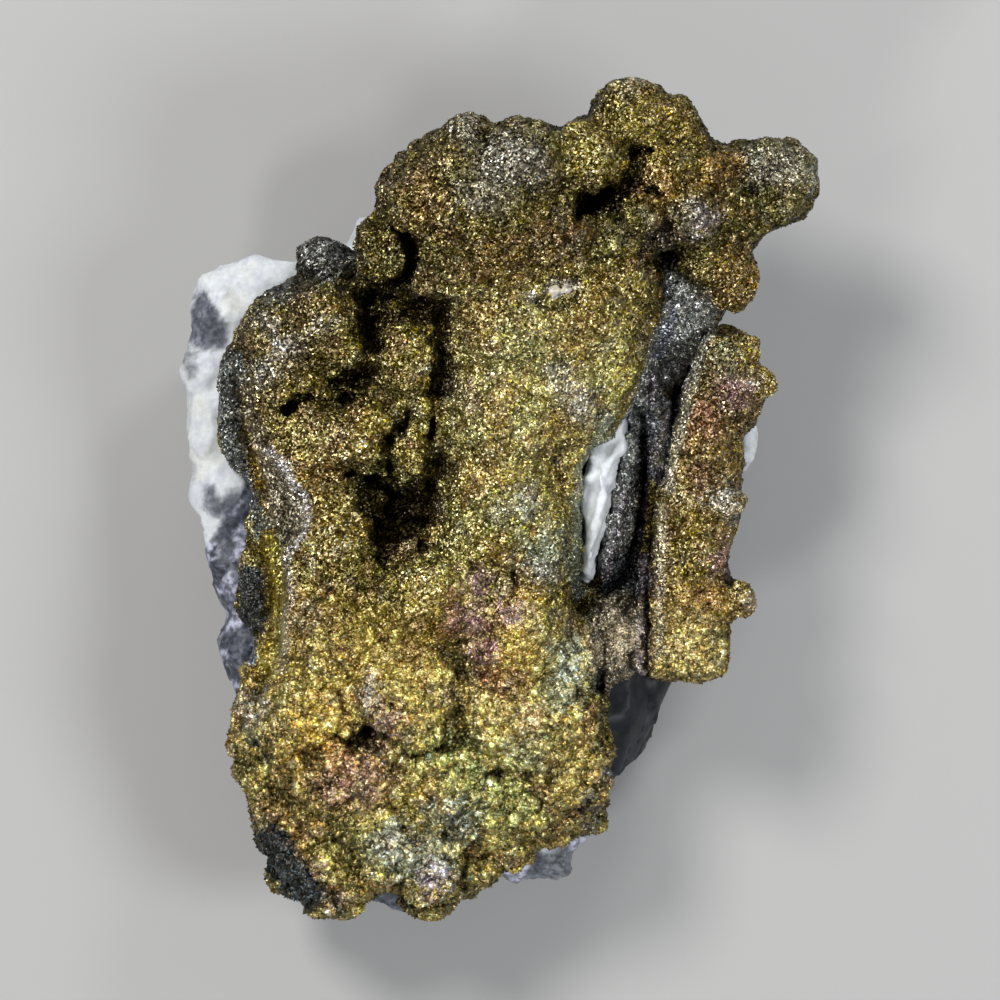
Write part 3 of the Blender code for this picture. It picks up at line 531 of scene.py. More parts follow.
# Hollows and cracks of the druse: half width, depth and line in plan.
CRUST_CUTS = [
    (0.5, 3.2, (-10.6, 27.8), (-9.7, 26.9), (-8.9, 25.9)),
    (0.58, 4.4, (-8.9, 25.9), (-8.4, 24.9), (-8.4, 23.9), (-8.9, 22.9), (-9.8, 22.1)),
    (0.5, 4, (-9.8, 22.1), (-11, 21.4), (-12.4, 20.8), (-14.2, 20.4)),
    (0.8, 4.5, (-13.3, 19.6), (-13.2, 18.2), (-12.9, 16.6), (-12.4, 15.4)),
    (0.8, 2, (-11.9, 19.9), (-10.9, 20.4)), (0.8, 2.4, (-12, 18.2)),
    (0.28, 1.4, (-7.7, 21.3), (-6.8, 20.3), (-5.9, 19.7)),
    (0.34, 2.2, (-5.7, 19.6), (-6.3, 18.6), (-5.8, 17.6), (-5.4, 16.4)),
    (0.32, 2.2, (-5.4, 16.4), (-5.8, 15), (-5.4, 13.8), (-5.9, 12.4), (-6.2, 11.2)),
    (0.32, 1.8, (-5.9, 10.8), (-5.9, 9), (-6.8, 7.6), (-7.3, 6), (-7.6, 3.4)),
    (0.8, 1.8, (-6.8, 13.4), (-6.7, 11.3)), (0.45, 1.3, (-4.8, 18.2), (-3.5, 17.5), (-2.7, 17.4)),
    (0.55, 4.5, (-21.3, 9.3), (-20.3, 9.9), (-19.2, 10.3), (-18.4, 9.9)),
    (0.28, 1.6, (-21.3, 9.2), (-21.4, 8)), (0.28, 1.8, (-18.4, 10.6), (-18.3, 11.6), (-18.4, 12.5)),
    (0.9, 2.4, (-16.8, 11.6), (-15.4, 12.1), (-14.2, 12.1), (-13.2, 12.4)),
    (0.4, 3, (-15, 13), (-12.8, 13)), (0.9, 1.8, (-15.8, 10.3)), (0.55, 1.6, (-22.8, 5.8)),
    (0.5, 1.5, (-21.5, 5.5)),
    (0.42, 2.6, (-9, 9.2), (-9.2, 7.6), (-9.8, 6.6), (-10.9, 5.6), (-11.1, 4.6), (-11, 3)),
    (0.8, 1.6, (-9.5, 7.2)), (0.55, 4, (-15.7, 2.4), (-14.9, 3.2)), (0.75, 5, (-13.5, 2.1), (-12.5, 2.1)),
    (0.85, 5, (-11.9, 1.7), (-11, 0.6), (-11, -0.8)), (0.45, 4, (-10.8, 3.4), (-10.5, 1.8), (-10.4, 0.4)),
    (1.2, 5, (-10.7, -3.6), (-9.5, -3), (-8.4, -2.6), (-7.2, -2.1)),
    (0.6, 6, (-7, -1.4), (-7, 0.2), (-6.8, 2.1)), (0.6, 3.5, (-13.9, -0.2), (-12.7, -1.8), (-11.8, -3.2)),
    (0.65, 3.5, (-12.4, -6), (-11.5, -5.7)), (0.5, 2.5, (-7.9, -4.2), (-7.6, -5.2)),
    (0.28, 1.6, (-3, -5.7), (-2.6, -6.8)), (0.28, 1.4, (-5, -8.6), (-4.9, -12), (-4.8, -13.9)),
    (0.45, 1.6, (-4.4, -14.2), (-3.3, -14.3)), (0.75, 3.4, (-15.1, -23.7), (-14.5, -24.5)),
    (0.9, 2, (-14.2, -22.9), (-12.8, -22.7), (-11.8, -23.3)),
    (0.42, 2.2, (-14, -25.4), (-13.9, -27), (-13.8, -28.7)), (0.65, 3, (-11, -20.3), (-10.3, -20)),
    (0.55, 2.4, (-10.3, -21.9)), (0.4, 1.6, (-9.2, -19.1), (-8.5, -19)), (0.55, 1.6, (-16.3, -24)),
    (0.35, 1.6, (-10, -27.3), (-9.9, -28.6)), (0.4, 2.4, (-5.4, -22.7), (-5.8, -24.2), (-6.4, -25.3)),
    (0.32, 1.2, (-7, -25.6), (-8.8, -25.9)), (0.5, 2.6, (4.1, -29.3), (3.9, -30.5), (3.3, -31.6)),
    (0.28, 1.4, (4.1, -27.4), (4.2, -28.8)), (0.45, 1.4, (-2.4, -28.2)),
    (0.55, 1.5, (-1.2, -27.2), (-0.3, -27.6)), (0.35, 1.5, (1.2, -26.8), (1, -28.4)),
    (0.38, 1.8, (2.5, -20.5), (3, -21.6), (3.5, -22.3)), (0.32, 1.8, (4.9, -22.8), (5, -24.5)),
    (0.25, 1.2, (7.6, -20.6), (7.8, -22.4)), (0.34, 1.8, (1.3, -6.3), (1.3, -7.4), (1.7, -8.6)),
    (0.42, 1.2, (-0.9, -1)), (0.7, 7, (9.1, 29.6), (10.1, 30.1), (11, 30.4)),
    (0.72, 8, (8, 28.9), (8.1, 28.1)), (0.3, 1.2, (5, 36.8), (5.4, 35.4), (5.9, 34), (5.9, 32.6)),
    (0.28, 1.2, (12.4, 36.3), (13.2, 34.9), (13.2, 33.4), (13, 32)), (0.5, 2.2, (13, 34.7), (14.9, 34.6)),
    (0.4, 1.6, (14.4, 30.7), (16, 30.3), (18.3, 30.5)), (0.55, 2, (18.3, 30.5)),
    (0.28, 1.2, (12.3, 25.5), (13.5, 25.1), (14.8, 25.5), (15.4, 26.4)), (0.6, 2, (22.2, 25.4)),
    (0.35, 1.4, (24.8, 31), (24.9, 29.4)), (0.35, 1.2, (-4.2, 25.8), (-1.5, 25.3), (1.9, 25.4)),
    (0.7, 1.8, (3.8, 19.6), (4.9, 19.3)), (0.45, 1.5, (5.8, 19.4), (6.3, 19.9)),
    (0.6, 4, (9.8, -17.5), (10, -19)),
    (0.36, 2.8, (14.3, 9), (14.4, 4), (14.6, 0.6), (14, -3.4), (13.2, -6.2), (11.8, -8.8)),
    (0.5, 3, (17.8, 11.4), (17.9, 9.4)), (0.28, 2, (14.9, 13), (14.9, 9.6)),
    (0.3, 2.4, (10.6, -11.4), (10.5, -16.6)), (0.42, 1.6, (6.8, -16.8)),
    (0.42, 2.4, (-9.2, -36.6), (-9.9, -38.9)), (0.34, 1.6, (-5.6, -33), (-4.4, -35.3)),
    (0.45, 1.5, (-7.5, -30.7)), (0.36, 1.7, (-17.4, -33.1), (-16.2, -34), (-14.5, -34.9)),
    (0.42, 1.3, (-16.8, -37.6)), (0.42, 1.3, (-21.5, -29)), (0.42, 1.3, (-4, -38.9)),
    (0.35, 1, (-3.4, 10.5)), (0.28, 1, (2.7, 8.6), (3, 8.2)), (0.3, 1.2, (6.7, -33), (7.2, -32.2)),
]
# Druse that stands in the cleft, beside the wall and the vein: middle, radii and any turn.
CRUST_FILLS = [
    ((16.3, 8.6, 20.4), (0.9, 1.4, 1.5), -15), ((16.1, 6.2, 20.2), (0.9, 1.5, 1.5), -15),
    ((15.8, 3.8, 20.1), (0.9, 1.5, 1.5), -12), ((15.4, 1.6, 19.9), (0.7, 1.3, 1.5), -10),
    ((15.1, -0.8, 19.6), (0.7, 1.5, 1.4), -5), ((14.9, -3.4, 19.6), (0.7, 1.5, 1.5)),
    ((14.4, -6.2, 19.8), (0.7, 1.5, 1.5)), ((14.3, -9.4, 20.2), (0.7, 1.8, 1.7)),
    ((14.3, -12.6, 20.8), (0.8, 1.9, 1.9)), ((14.2, -16, 20.8), (0.8, 1.6, 1.9)),
    ((12.9, 4.4, 20), (0.8, 2.2, 1.5), -10), ((12.2, 0.8, 20.2), (0.9, 2.2, 1.5), -10),
    ((11.4, -3, 20.3), (1, 2.2, 1.5), -5), ((10.6, -6.2, 20.4), (0.9, 1.5, 1.4)),
    ((11, -11.6, 23.2), (1.3, 1.4, 1.3)), ((12.6, -13.6, 22.4), (1.3, 1.6, 1.4)),
    ((11.4, -16, 23), (1.4, 1.3, 1.2)), ((6.2, 3.2, 25.6), (1.9, 2.2, 2)), ((7, 1, 24.8), (1.3, 1.8, 2)),
    ((7.3, 5, 25.2), (1.5, 1.6, 2.2)),
]
WALL_LUMPS = [
    (22.7, -0.3, 1.9, 1.5, 0.7), (22.4, 12.2, 2.5, 2.4, 0.5), (24.2, -10, 1.5, 1.8, 0.4),
    (21, 6, 2, 2.6, 0.4), (20.4, -5.4, 2, 2.4, 0.4), (19.4, -14.4, 2.4, 2.2, 0.3),
    (21.6, -11, 1.8, 2, 0.4), (18.8, -0.6, 1.8, 2.6, 0.3), (26.6, 11.7, 1.2, 1, 0.2),
    (24.6, 15, 1.5, 1.5, 0.3),
]
WALL_CUTS = [
    (0.32, 1.4, (20, 1.9), (19.8, 0.4), (19.9, -1.6)), (0.32, 1.4, (22.9, -8.8), (22.9, -11.2)),
    (0.5, 1.2, (21.8, -5.6)), (0.32, 1.2, (18, 6.8), (17.8, 5.6)), (0.4, 1.2, (19.9, 11.8), (20, 10.4)),
]


# Blotches of tarnish all over the druse: colour, strength, size, octaves, seed and noise range.
DRUSE_BLOTCHES = [
    (RUST, 0.55, 6.0, 3, 31, 0.50, 0.68), (GREEN, 0.35, 5.0, 3, 47, 0.52, 0.72),
    (MAROON, 0.35, 2.0, 2, 37, 0.56, 0.72), (SILVER, 0.30, 1.6, 2, 41, 0.60, 0.75),
]
# Patches on the druse: tarnish, and painted sheen in the silver and lilac patches on the tops of the dome
# and knobs, on a raised lump and in a hollow low on the left. Each is x, y, radius, colour and strength.
TARNISH_AND_SHEEN = [
    (1.6, 33.6, 3.9, SILVER, 0.55), (-1.6, 31.6, 3.6, SILVER, 0.3), (-3.2, 37.2, 2.2, SILVER, 0.55),
    (13, 41, 1.6, SILVER, 0.55), (28.6, 33.6, 3.4, SILVER, 0.48), (28.6, 29.8, 2.6, BROWN, 0.4),
    (31.4, 32, 1.2, TEAL, 0.5), (24.6, 33, 2.6, STEEL, 0.45), (19.3, 28.1, 2.6, SILVER, 0.45),
    (16, 26, 2, SILVER, 0.3), (20.3, 27.8, 1.7, LILAC, 0.55), (16.4, 31.7, 2.8, RUST, 0.5),
    (13.5, 38.6, 3.8, GOLD, 0.55), (8.6, 35.2, 3, GOLD, 0.45), (17.5, 36.5, 2.6, ORANGE, 0.25),
    (22, 33, 3, RUST, 0.6), (22.3, 29.3, 2.4, BROWN, 0.5), (-7.6, 30, 3.6, RUST, 0.45),
    (-6.3, 34.2, 1.8, ORANGE, 0.25), (8, 33.5, 3, ORANGE, 0.22), (0.5, 24, 4, RUST, 0.35),
    (6.4, 23.6, 2.6, RUST, 0.25), (13.5, 20, 3.4, BROWN, 0.35), (23.6, 22, 3.6, RUST, 0.6),
    (23.6, 22.6, 2.6, BROWN, 0.4), (24.6, 25.4, 2, BROWN, 0.5), (-20.5, 16.5, 5.4, BROWN, 0.55),
    (-15, 19, 2.6, RUST, 0.4), (-21.2, 15, 2.2, SILVER, 0.75), (-24, 12.6, 1.9, SILVER, 0.85),
    (-23, 17.6, 1.6, SILVER, 0.65), (-17.6, 17.4, 1.6, SILVER, 0.45), (-23, 9.2, 2.2, BROWN, 0.55),
    (-17.4, 6.2, 2.8, PALE_GOLD, 0.3), (-18.6, 2.2, 2.6, ORANGE, 0.35), (-16.4, -2, 4, ORANGE, 0.4),
    (-14, 8.5, 2.4, RUST, 0.45), (6.3, 11.9, 2.1, SILVER, 0.75), (7.6, 9.2, 1.9, SILVER, 0.75),
    (9, 8, 1.4, SILVER, 0.55), (-4.4, 11, 2, SILVER, 0.22), (2.3, -0.1, 2.2, SILVER, 0.6),
    (2.6, -1, 1.6, TEAL, 0.4), (-0.6, 4.6, 2.2, RUST, 0.3), (-3, 1.6, 2.4, RUST, 0.35),
    (3, 15.6, 4.6, GREEN, 0.3), (-2.4, 6.6, 3, GREEN, 0.22), (-2.6, -7.8, 2, PURPLE, 0.6),
    (-3.4, -11.8, 2.2, PURPLE, 0.6), (-2.2, -14.6, 2, PURPLE, 0.65), (0.6, -10.4, 1.4, PURPLE, 0.4),
    (-0.6, -17.4, 1.8, MAROON, 0.65), (0.9, -18.8, 1.6, MAROON, 0.6), (-0.4, -5.4, 1.8, RUST, 0.5),
    (4.4, -6.2, 3, TEAL, 0.8), (4.2, -7.2, 1.8, SILVER, 0.6), (5.6, -3.4, 1.8, TEAL, 0.35),
    (1.4, -11.3, 0.8, LILAC, 0.85), (2.4, -14.6, 3.6, ORANGE, 0.58), (-6, -13, 3, RUST, 0.3),
    (6.9, -12.6, 1.6, LILAC, 0.3), (7.2, -16.2, 3.2, TEAL, 0.8), (5.4, -19.6, 2.4, TEAL, 0.4),
    (-10.4, -35.1, 3.2, TEAL, 0.8), (-10.8, -34.4, 2, SILVER, 0.65), (-6.7, -36.3, 3, TEAL, 0.75),
    (-6.6, -37.8, 2, LILAC, 0.65), (-5.3, -30.1, 1.3, SILVER, 0.7), (-4, -25.6, 4.2, GREEN, 0.75),
    (-5, -31.8, 3.2, TEAL, 0.75), (-5.2, -33, 1.2, BLUE_BLACK, 0.45), (0.6, -30, 4, GREEN, 0.55),
    (2.2, -25, 2, TEAL, 0.35), (-18.6, -23, 4.6, ORANGE, 0.65), (-20, -17, 3.4, GOLD, 0.5),
    (-12, -14.6, 4.4, GOLD, 0.45), (-13.6, -27.6, 4, PURPLE, 0.35), (-16.4, -27.4, 3.4, MAROON, 0.4),
    (-12.6, -23.6, 2.2, BROWN, 0.6), (-11.6, -22, 2.4, PURPLE, 0.35), (-13.4, -18.6, 1.5, SILVER, 0.6),
    (-13.2, -20.4, 1.2, SILVER, 0.45), (-24.2, -20.5, 2.2, SILVER, 0.6), (-24.4, -23.6, 1.5, TEAL, 0.6),
    (-23.8, -24.8, 0.9, BLUE_BLACK, 0.8), (7, -28.4, 4, BROWN, 0.25),
    (11.2, -27.7, 1.3, CLEFT_BLUE, 0.75), (8.4, -30.9, 1.1, BLUE_BLACK, 0.6),
    (9.2, -32.4, 0.8, LILAC, 0.45), (-17.2, 4.6, 4.6, BROWN, 0.25), (-17.2, -40.9, 2, SILVER, 0.45),
    (-18.4, -37, 1.1, PURPLE, 0.5), (-16.8, -40.6, 1.8, STEEL, 0.7), (-17.8, 24.6, 3.2, CLEFT_GREY, 0.8),
    (-22.2, 21.4, 2, STEEL, 0.8), (9.2, -30.6, 1.4, STEEL, 0.45), (7.6, -27.6, 2.6, PALE_GOLD, 0.25),
    (1.5, -21.5, 4.5, PALE_GOLD, 0.35), (-19.4, -29, 4.2, BROWN, 0.4), (-18.4, -40.4, 3, BROWN, 0.55),
    (22.4, 9.4, 4.8, BROWN, 0.85), (22, 14.4, 2.4, TEAL, 0.3), (24, 11, 2.2, PURPLE, 0.45),
    (25.6, 12.2, 1.6, SILVER, 0.45), (20, 7.6, 2.8, MAROON, 0.6), (21.4, 3.4, 2.8, BROWN, 0.65),
    (20, 2, 1.6, MAROON, 0.4), (22.6, -0.3, 2, SILVER, 0.85), (19.4, 0.6, 1.4, SILVER, 0.35),
    (22, -5.8, 2.2, PURPLE, 0.45), (20.4, -9.8, 2.4, MAROON, 0.35), (18.8, -9, 2, ORANGE, 0.3),
    (24.5, -10, 1.5, SILVER, 0.45), (19.4, -14.6, 4, PALE_GOLD, 0.45),
]
# Stretches of other druse: half width, colour, the height below which they lie and line in plan.
STRETCHES = [
    (1.35, STEEL, 40, (-26.9, 14), (-27.4, 11.8), (-27.2, 8.4), (-26.8, 4.4)),
    (0.75, STEEL, 40, (-26, 3), (-25, 0.6), (-24, -3.2)),
    (1.5, BLUE_BLACK, 40, (-25, -7.9), (-24.8, -10), (-24.7, -12)),
    (0.9, CLEFT_BLUE, 40, (-25.6, -13.6), (-25.2, -15.8)),
    (1.9, BLUE_BLACK, 40, (-22.8, -34.4), (-21.8, -37), (-19.6, -39.4)),
    (3, CLEFT_GREY, 26.5, (18.8, 21.6), (18.6, 18), (17.4, 14)),
    (0.8, CLEFT_BLUE, 26.5, (17, 19), (16.2, 15), (15.6, 12)),
    (2.2, CLEFT_GREY, 26.5, (14.8, 12.6), (13.4, 9)),
    (2.2, CLEFT_GREY, 26.5, (13, 8), (12.2, 5), (11.6, 0), (11.2, -5)),
    (1.5, CLEFT_BLUE, 22.5, (16.6, 8.4), (16, 3.2)), (2.4, BLUE_BLACK, 26.5, (12.8, -7.5), (12.2, -9.5)),
    (3.2, CLEFT_BROWN, 26.5, (12, -12.4), (12, -16.4)),
]
# Fine streaks: half width, colour, strength and line in plan. The silver one on the raised lump low on
# the left is a painted highlight.
STREAKS = [
    (0.35, LILAC, 0.6, (15.4, 12.4), (15.3, 9.8)), (0.45, LILAC, 0.6, (18.3, 13.4), (18.4, 12)),
    (0.4, LILAC, 0.5, (17.2, 8.9), (16.5, 6.4)), (0.4, LILAC, 0.5, (16.3, 3.4), (16.1, 1.8)),
    (0.4, LILAC, 0.6, (12.3, 0.4), (12.2, -1.6)), (0.35, LILAC, 0.5, (12, -2.8), (11.7, -3.6)),
    (0.35, LILAC, 0.5, (11.3, -5), (10.6, -8)), (0.45, LILAC, 0.35, (14.6, -5.6), (14.4, -9)),
    (0.55, LILAC, 0.35, (14.2, -12), (14, -17.5)), (0.45, BLUE_BLACK, 0.6, (10, -1), (9.9, -7)),
    (0.45, BLUE_BLACK, 0.4, (10.8, 5.4), (10.6, 3.2)), (0.55, BEIGE, 0.35, (20.6, 20.6), (20.9, 16.4)),
    (0.6, BEIGE, 0.75, (20.1, 15.2), (19.4, 13), (18.6, 10), (17.9, 7), (17.1, 3.2), (16.9, 1.2)),
    (0.55, BEIGE, 0.55, (16.2, -1), (16, -7.4), (15.9, -15.6)),
    (0.35, SILVER, 0.8, (4.5, 20.8), (5.4, 21.5), (6.6, 21.6), (7.6, 21.2)),
    (0.45, SILVER, 0.8, (3.1, 20.1), (3.4, 19.9)),
    (0.6, DULL_BROWN, 0.6, (-25.3, 9), (-24.6, 6), (-23.9, 4.6), (-23.5, 2.8)),
    (0.75, GROOVE_GOLD, 0.85, (-23.2, -3.6), (-22.8, -5.8), (-22.2, -8), (-22, -10), (-22.1, -13),
     (-22.5, -15.2), (-23.6, -17)), (0.5, SILVER, 0.4, (-13, -17), (-13.4, -21)),
    (0.6, TEAL, 0.65, (11, 8.4), (9.6, 5.6), (8.1, 3), (7.7, -1), (7.9, -4), (7.3, -6.8), (7.8, -9.4)),
    (0.35, MAROON, 0.5, (-4.7, -9), (-4.8, -13.5)),
]
# Dull brown shelf between the groove and the raised rim on the left.
SHELF = [
    (-23.5, 4.2), (-22.2, 3.9), (-20.9, 2.4), (-19.7, 0.3), (-19.6, -2.2), (-20.9, -4.6), (-22.5, -4.6),
    (-23.5, -2),
]
# Deep slots painted black as shade, since no light comes back from them: half width and line in plan.
DARK_SLOTS = [
    (0.42, (14.3, 8.6), (14.4, 4), (14.6, 0.6), (14.1, -2.6)),
    (0.62, (14, -3), (13.4, -5.4), (12.6, -7.8), (10.6, -9)), (0.5, (17.8, 11.2), (17.6, 8.8)),
    (0.5, (10, -17.2), (10, -19)),
]
RIM_LINE = [
    (-23.2, 4.9), (-22.3, 4.3), (-21.3, 3), (-20.4, 1.5), (-19.6, 0.6), (-19.2, -0.5), (-19.1, -1.9),
    (-19.4, -3.3), (-20.2, -4.5), (-21.1, -5.5), (-21.3, -6.5), (-20.8, -8), (-20.6, -9.7), (-21.7, -12),
    (-21.3, -14.7), (-21.9, -17),
]
GROOVE_LINE = [
    (-26, 12.4), (-25.3, 9), (-24.6, 6), (-23.9, 4.6), (-23.4, 2), (-23.2, -3.6), (-22.8, -5.8),
    (-22.2, -8), (-22, -10), (-22.2, -13), (-22.8, -15.2), (-24, -17.2),
]


def druse_zones(points, x, y, wall):
    """Broad zones of colour: brown on the upper lobes, pale in the middle and at the foot."""
    drift = rough_noise(points, 5.0, 3, 11)
    speckle = rough_noise(points, 1.2, 2, 23)
    wander = 8.0 * (drift - 0.5)
    upper = ramp(y + wander, 16.0, 26.0)
    foot = ramp(-y + wander, 8.0, 24.0)
    left = ramp(-x, 12.0, 16.0) * ramp(y, 4.0, 9.0)
    colours = layered(all_over(points, OLIVE), [
        (GOLD, ramp(drift + 0.3 * speckle, 0.35, 0.85)),
        (OLIVE, 0.5 * upper),
        (PALE_GOLD, 0.30 * foot),
        (PALE_GOLD, 0.78 * glow(x, y, (3.5, 11.0), (8.5, 10.0))),
    ])
    colours = blotched(colours, points, DRUSE_BLOTCHES)
    if wall:
        colours = mixed(colours, RUST, 0.45 * ramp(drift, 0.3, 0.7))
    dim = 1.0 - 0.50 * upper - 0.25 * left + 0.05 * foot - (0.21 if wall else 0.0)
    return colours * dim[:, None]


def creased(points, kind, edge, dark, least, spread):
    """Brightness of nodules: each its own tone, and painted shade in the creases between them."""
    _, crease, number = cells(points, *kind)
    return (least + spread * number) * (1.0 - dark + dark * ramp(crease, 0.0, edge))


def nodule_tone_and_crease_shade(points):
    """Brightness of the small nodules and the beads, each its own tone with painted shade in their
    creases, and at the foot painted shade in the creases of its lumps.
    """
    broad = creased(points, NODULE, 0.22, 0.38, 0.80, 0.40)
    fine = creased(points, BEAD, 0.28, 0.44, 0.74, 0.52)
    _, crease, _ = cells(points, *FOOT_LUMP)
    foot = ramp(-points[:, 1], *FOOT)
    # Painted shade in the creases of the foot's lumps.
    lumps = 1.0 - 0.45 * foot * ramp(crease, 0.22, 0.0)
    return broad * fine * lumps * 1.36


def with_patches(colours, points, x, y):
    """Colours with the patches of tarnish and painted sheen, grain by grain, and the dull shelf on the
    left.
    """
    grainy = 0.45 + 1.1 * hashed(grid_cell(points, GRAINY), 97)
    for px, py, radius, colour, strength in TARNISH_AND_SHEEN:
        gap = np.hypot(x - px, y - py) / radius
        share = strength * grainy * ramp(gap, 1.2, 0.35)
        colours = mixed(colours, colour, np.minimum(share, 1.0))
    return mixed(colours, DULL_BROWN, 0.7 * ramp(inside(points, SHELF), -0.3, 0.3))


def with_lines(colours, points, y, warp, jitter, softened_shade, mottled):
    """Colours with the stretches, the streaks, the painted shade of the dark slots and the bright rim."""
    plan = points[:, :2]
    far_moved = plan + 1.0 * warp + 0.7 * jitter
    moved = plan + 0.5 * warp + 0.4 * jitter
    near_moved = plan + 0.4 * warp + 0.3 * jitter
    # The stretches, the streaks and the rim take a softened copy of the painted shade.
    for half, colour, below, *line in STRETCHES:
        gap = off_line(far_moved, line) / half
        low = ramp(points[:, 2], below, below - 2.0)
        share = 0.94 * low * ramp(gap, 1.15, 0.8)
        colours = mixed(colours, np.array(colour) * (softened_shade * mottled)[:, None], share)
    for half, colour, strength, *line in STREAKS:
        gap = off_line(moved, line) / half
        share = strength * ramp(gap, 1.4, 0.6)
        colours = mixed(colours, np.array(colour) * softened_shade[:, None], share)
    low = ramp(points[:, 2], 26.5, 24.5)
    # Painted shade: the deep slots turn black where they lie low.
    for half, *line in DARK_SLOTS:
        gap = off_line(plan, line) / half
        colours = mixed(colours, BLACK, 0.95 * low * ramp(gap, 1.3, 0.7))
    fading = 1.0 - 0.65 * ramp(-y, *RIM_FADE)
    rim = ramp(off_line(near_moved, RIM_LINE), 0.65, 0.20) * fading
    bright = softened_shade * (0.6 + 0.4 * mottled)
    return mixed(colours, np.array(RIDGE_GREY) * bright[:, None], 0.95 * rim)


def druse_colours(points, facing, wall=False):
    """Colour of the druse at each point from zones, patches and lines, steel grey where it faces down,
    with painted shade where little sky is seen and in the creases between nodules.
    """
    grid = grid_cell(points, DITHER)
    jitter = np.stack([hashed(grid, seed) - 0.5 for seed in (83, 89)], axis=1)
    warp = np.stack([wave(points, 2.6, 3, seed) for seed in (59, 61)], axis=1)
    x, y = (points[:, :2] + 3.0 * warp + 1.5 * jitter).T
    colours = with_patches(druse_zones(points, x, y, wall), points, x, y)
    # Painted shade: darker where the heights around hide the sky.
    shade = 0.20 + 0.80 * ramp(heights.openness(points), 0.22, 0.80)
    # mottled holds the nodules' own tone and the painted shade in their creases.
    mottled = nodule_tone_and_crease_shade(points)
    colours *= (shade * mottled)[:, None]
    colours = with_lines(colours, points, y, warp, jitter, 0.55 + 0.45 * shade, mottled)
    return mixed(colours, STEEL, 0.6 * ramp(-facing[:, 2], 0.0, 0.6))


def off_groove(points):
    """From 0 in the groove on the left to 1 beside it."""
    return ramp(off_line(points, GROOVE_LINE), *GROOVE_CLEAR)


def sparkle_of(points):
    """Strong contrast between grains on the upper lobes and the left, weak in the middle."""
    x, y = points[:, 0], points[:, 1]
    calm = glow(x, y, (3.0, 6.0), (11.0, 15.0))
    foot = ramp(-y, 8.0, 22.0)
    right = ramp(x, 10.0, 13.0)
    return np.clip(1.0 - calm - 0.85 * foot - 0.35 * right, 0.0, 1.0) * off_groove(points)


# Unit crystals, each as corners and triangles: the corner of a cube, and an octahedron.
CUBE_CORNER = (
    np.array([(0, 0, 1), (0.94, 0, -0.33), (-0.47, 0.82, -0.33), (-0.47, -0.82, -0.33)]),
    np.array([(0, 1, 2), (0, 2, 3), (0, 3, 1), (1, 3, 2)]),
)
OCTAHEDRON = (
    np.array([(1.0, 0, 0), (-1, 0, 0), (0, 1, 0), (0, -1, 0), (0, 0, 1), (0, 0, -1)]),
    np.array([(0, 2, 4), (2, 1, 4), (1, 3, 4), (3, 0, 4), (2, 0, 5), (1, 2, 5), (3, 1, 5), (0, 3, 5)]),
)
# Crystals grown on each skin: their form and number, one piece for each row.
CRUST_PARCELS = [(CUBE_CORNER, 48000), (CUBE_CORNER, 48000), (OCTAHEDRON, 16000)]
WALL_PARCELS = [(CUBE_CORNER, 14000), (OCTAHEDRON, 5000)]


def random_turns(count, draw):
    """Evenly spread rotation matrices."""
    q = draw.normal(size=(count, 4))
    q /= np.linalg.norm(q, axis=1)[:, None]
    w, x, y, z = q.T
    return np.stack([
        np.stack([1 - 2 * (y * y + z * z), 2 * (x * y - z * w), 2 * (x * z + y * w)], axis=1),
        np.stack([2 * (x * y + z * w), 1 - 2 * (x * x + z * z), 2 * (y * z - x * w)], axis=1),
        np.stack([2 * (x * z - y * w), 2 * (y * z + x * w), 1 - 2 * (x * x + y * y)], axis=1),
    ], axis=1)


def crystal_weight(middle, facing):
    """Crystals grow thickest on upper faces, and hardly in the groove."""
    return (0.35 + 0.65 * ramp(facing[:, 2], -0.3, 0.2)) * (0.15 + 0.85 * off_groove(middle))


def scattered(points, faces, count, draw):
    """Random places on a mesh, with the facing there."""
    a, b, c = points[faces[:, 0]], points[faces[:, 1]], points[faces[:, 2]]
    cross = np.cross(b - a, c - a)
    area = np.linalg.norm(cross, axis=1)
    facing = cross / area[:, None]
    share = area * crystal_weight((a + b + c) / 3.0, facing)
    chosen = draw.choice(len(faces), size=count, p=share / share.sum())
    u, v = draw.random(count), draw.random(count)
    flip = u + v > 1.0
    u, v = np.where(flip, 1.0 - u, u), np.where(flip, 1.0 - v, v)
    spots = a[chosen] + u[:, None] * (b - a)[chosen] + v[:, None] * (c - a)[chosen]
    return spots, facing[chosen]


def crystal_size(points, draw):
    """Half size of the crystals: fine grains above, blocky ones at the foot."""
    base = 0.155 + 0.255 * ramp(-points[:, 1], 6.0, 26.0)
    return base * np.exp(draw.normal(0.0, 0.25, len(points)))


def crystals(name, spots, facing, form, draw, wall):
    """One mesh of a crystal at each spot, sunk to its middle and turned at random."""
    corners, faces = form
    count = len(spots)
    size = crystal_size(spots, draw)
    turns = random_turns(count, draw)
    middles = spots - facing * (size * 0.25)[:, None]
    middles = np.clip(middles, BOX_LOW + size[:, None], BOX_HIGH - size[:, None])
    shape = np.einsum("nij,kj->nki", turns, corners) * size[:, None, None]
    verts = (middles[:, None, :] + shape).reshape(-1, 3)
    rows = (np.arange(count)[:, None, None] * len(corners) + faces[None]).reshape(-1, 3)
    mesh = mesh_from(name, verts, rows)
    colours = druse_colours(spots, facing, wall)
    bright = np.exp(draw.normal(0.0, 0.35, count))
    warm = draw.normal(0.0, 0.10, count)
    colours = colours * bright[:, None] * np.stack([1 + warm, np.ones(count), 1 - warm], axis=1)
    paint(mesh, np.repeat(np.clip(colours, 0.0, 0.95), len(corners), axis=0),
          np.repeat(sparkle_of(spots), len(corners)))
    return placed(name, mesh)


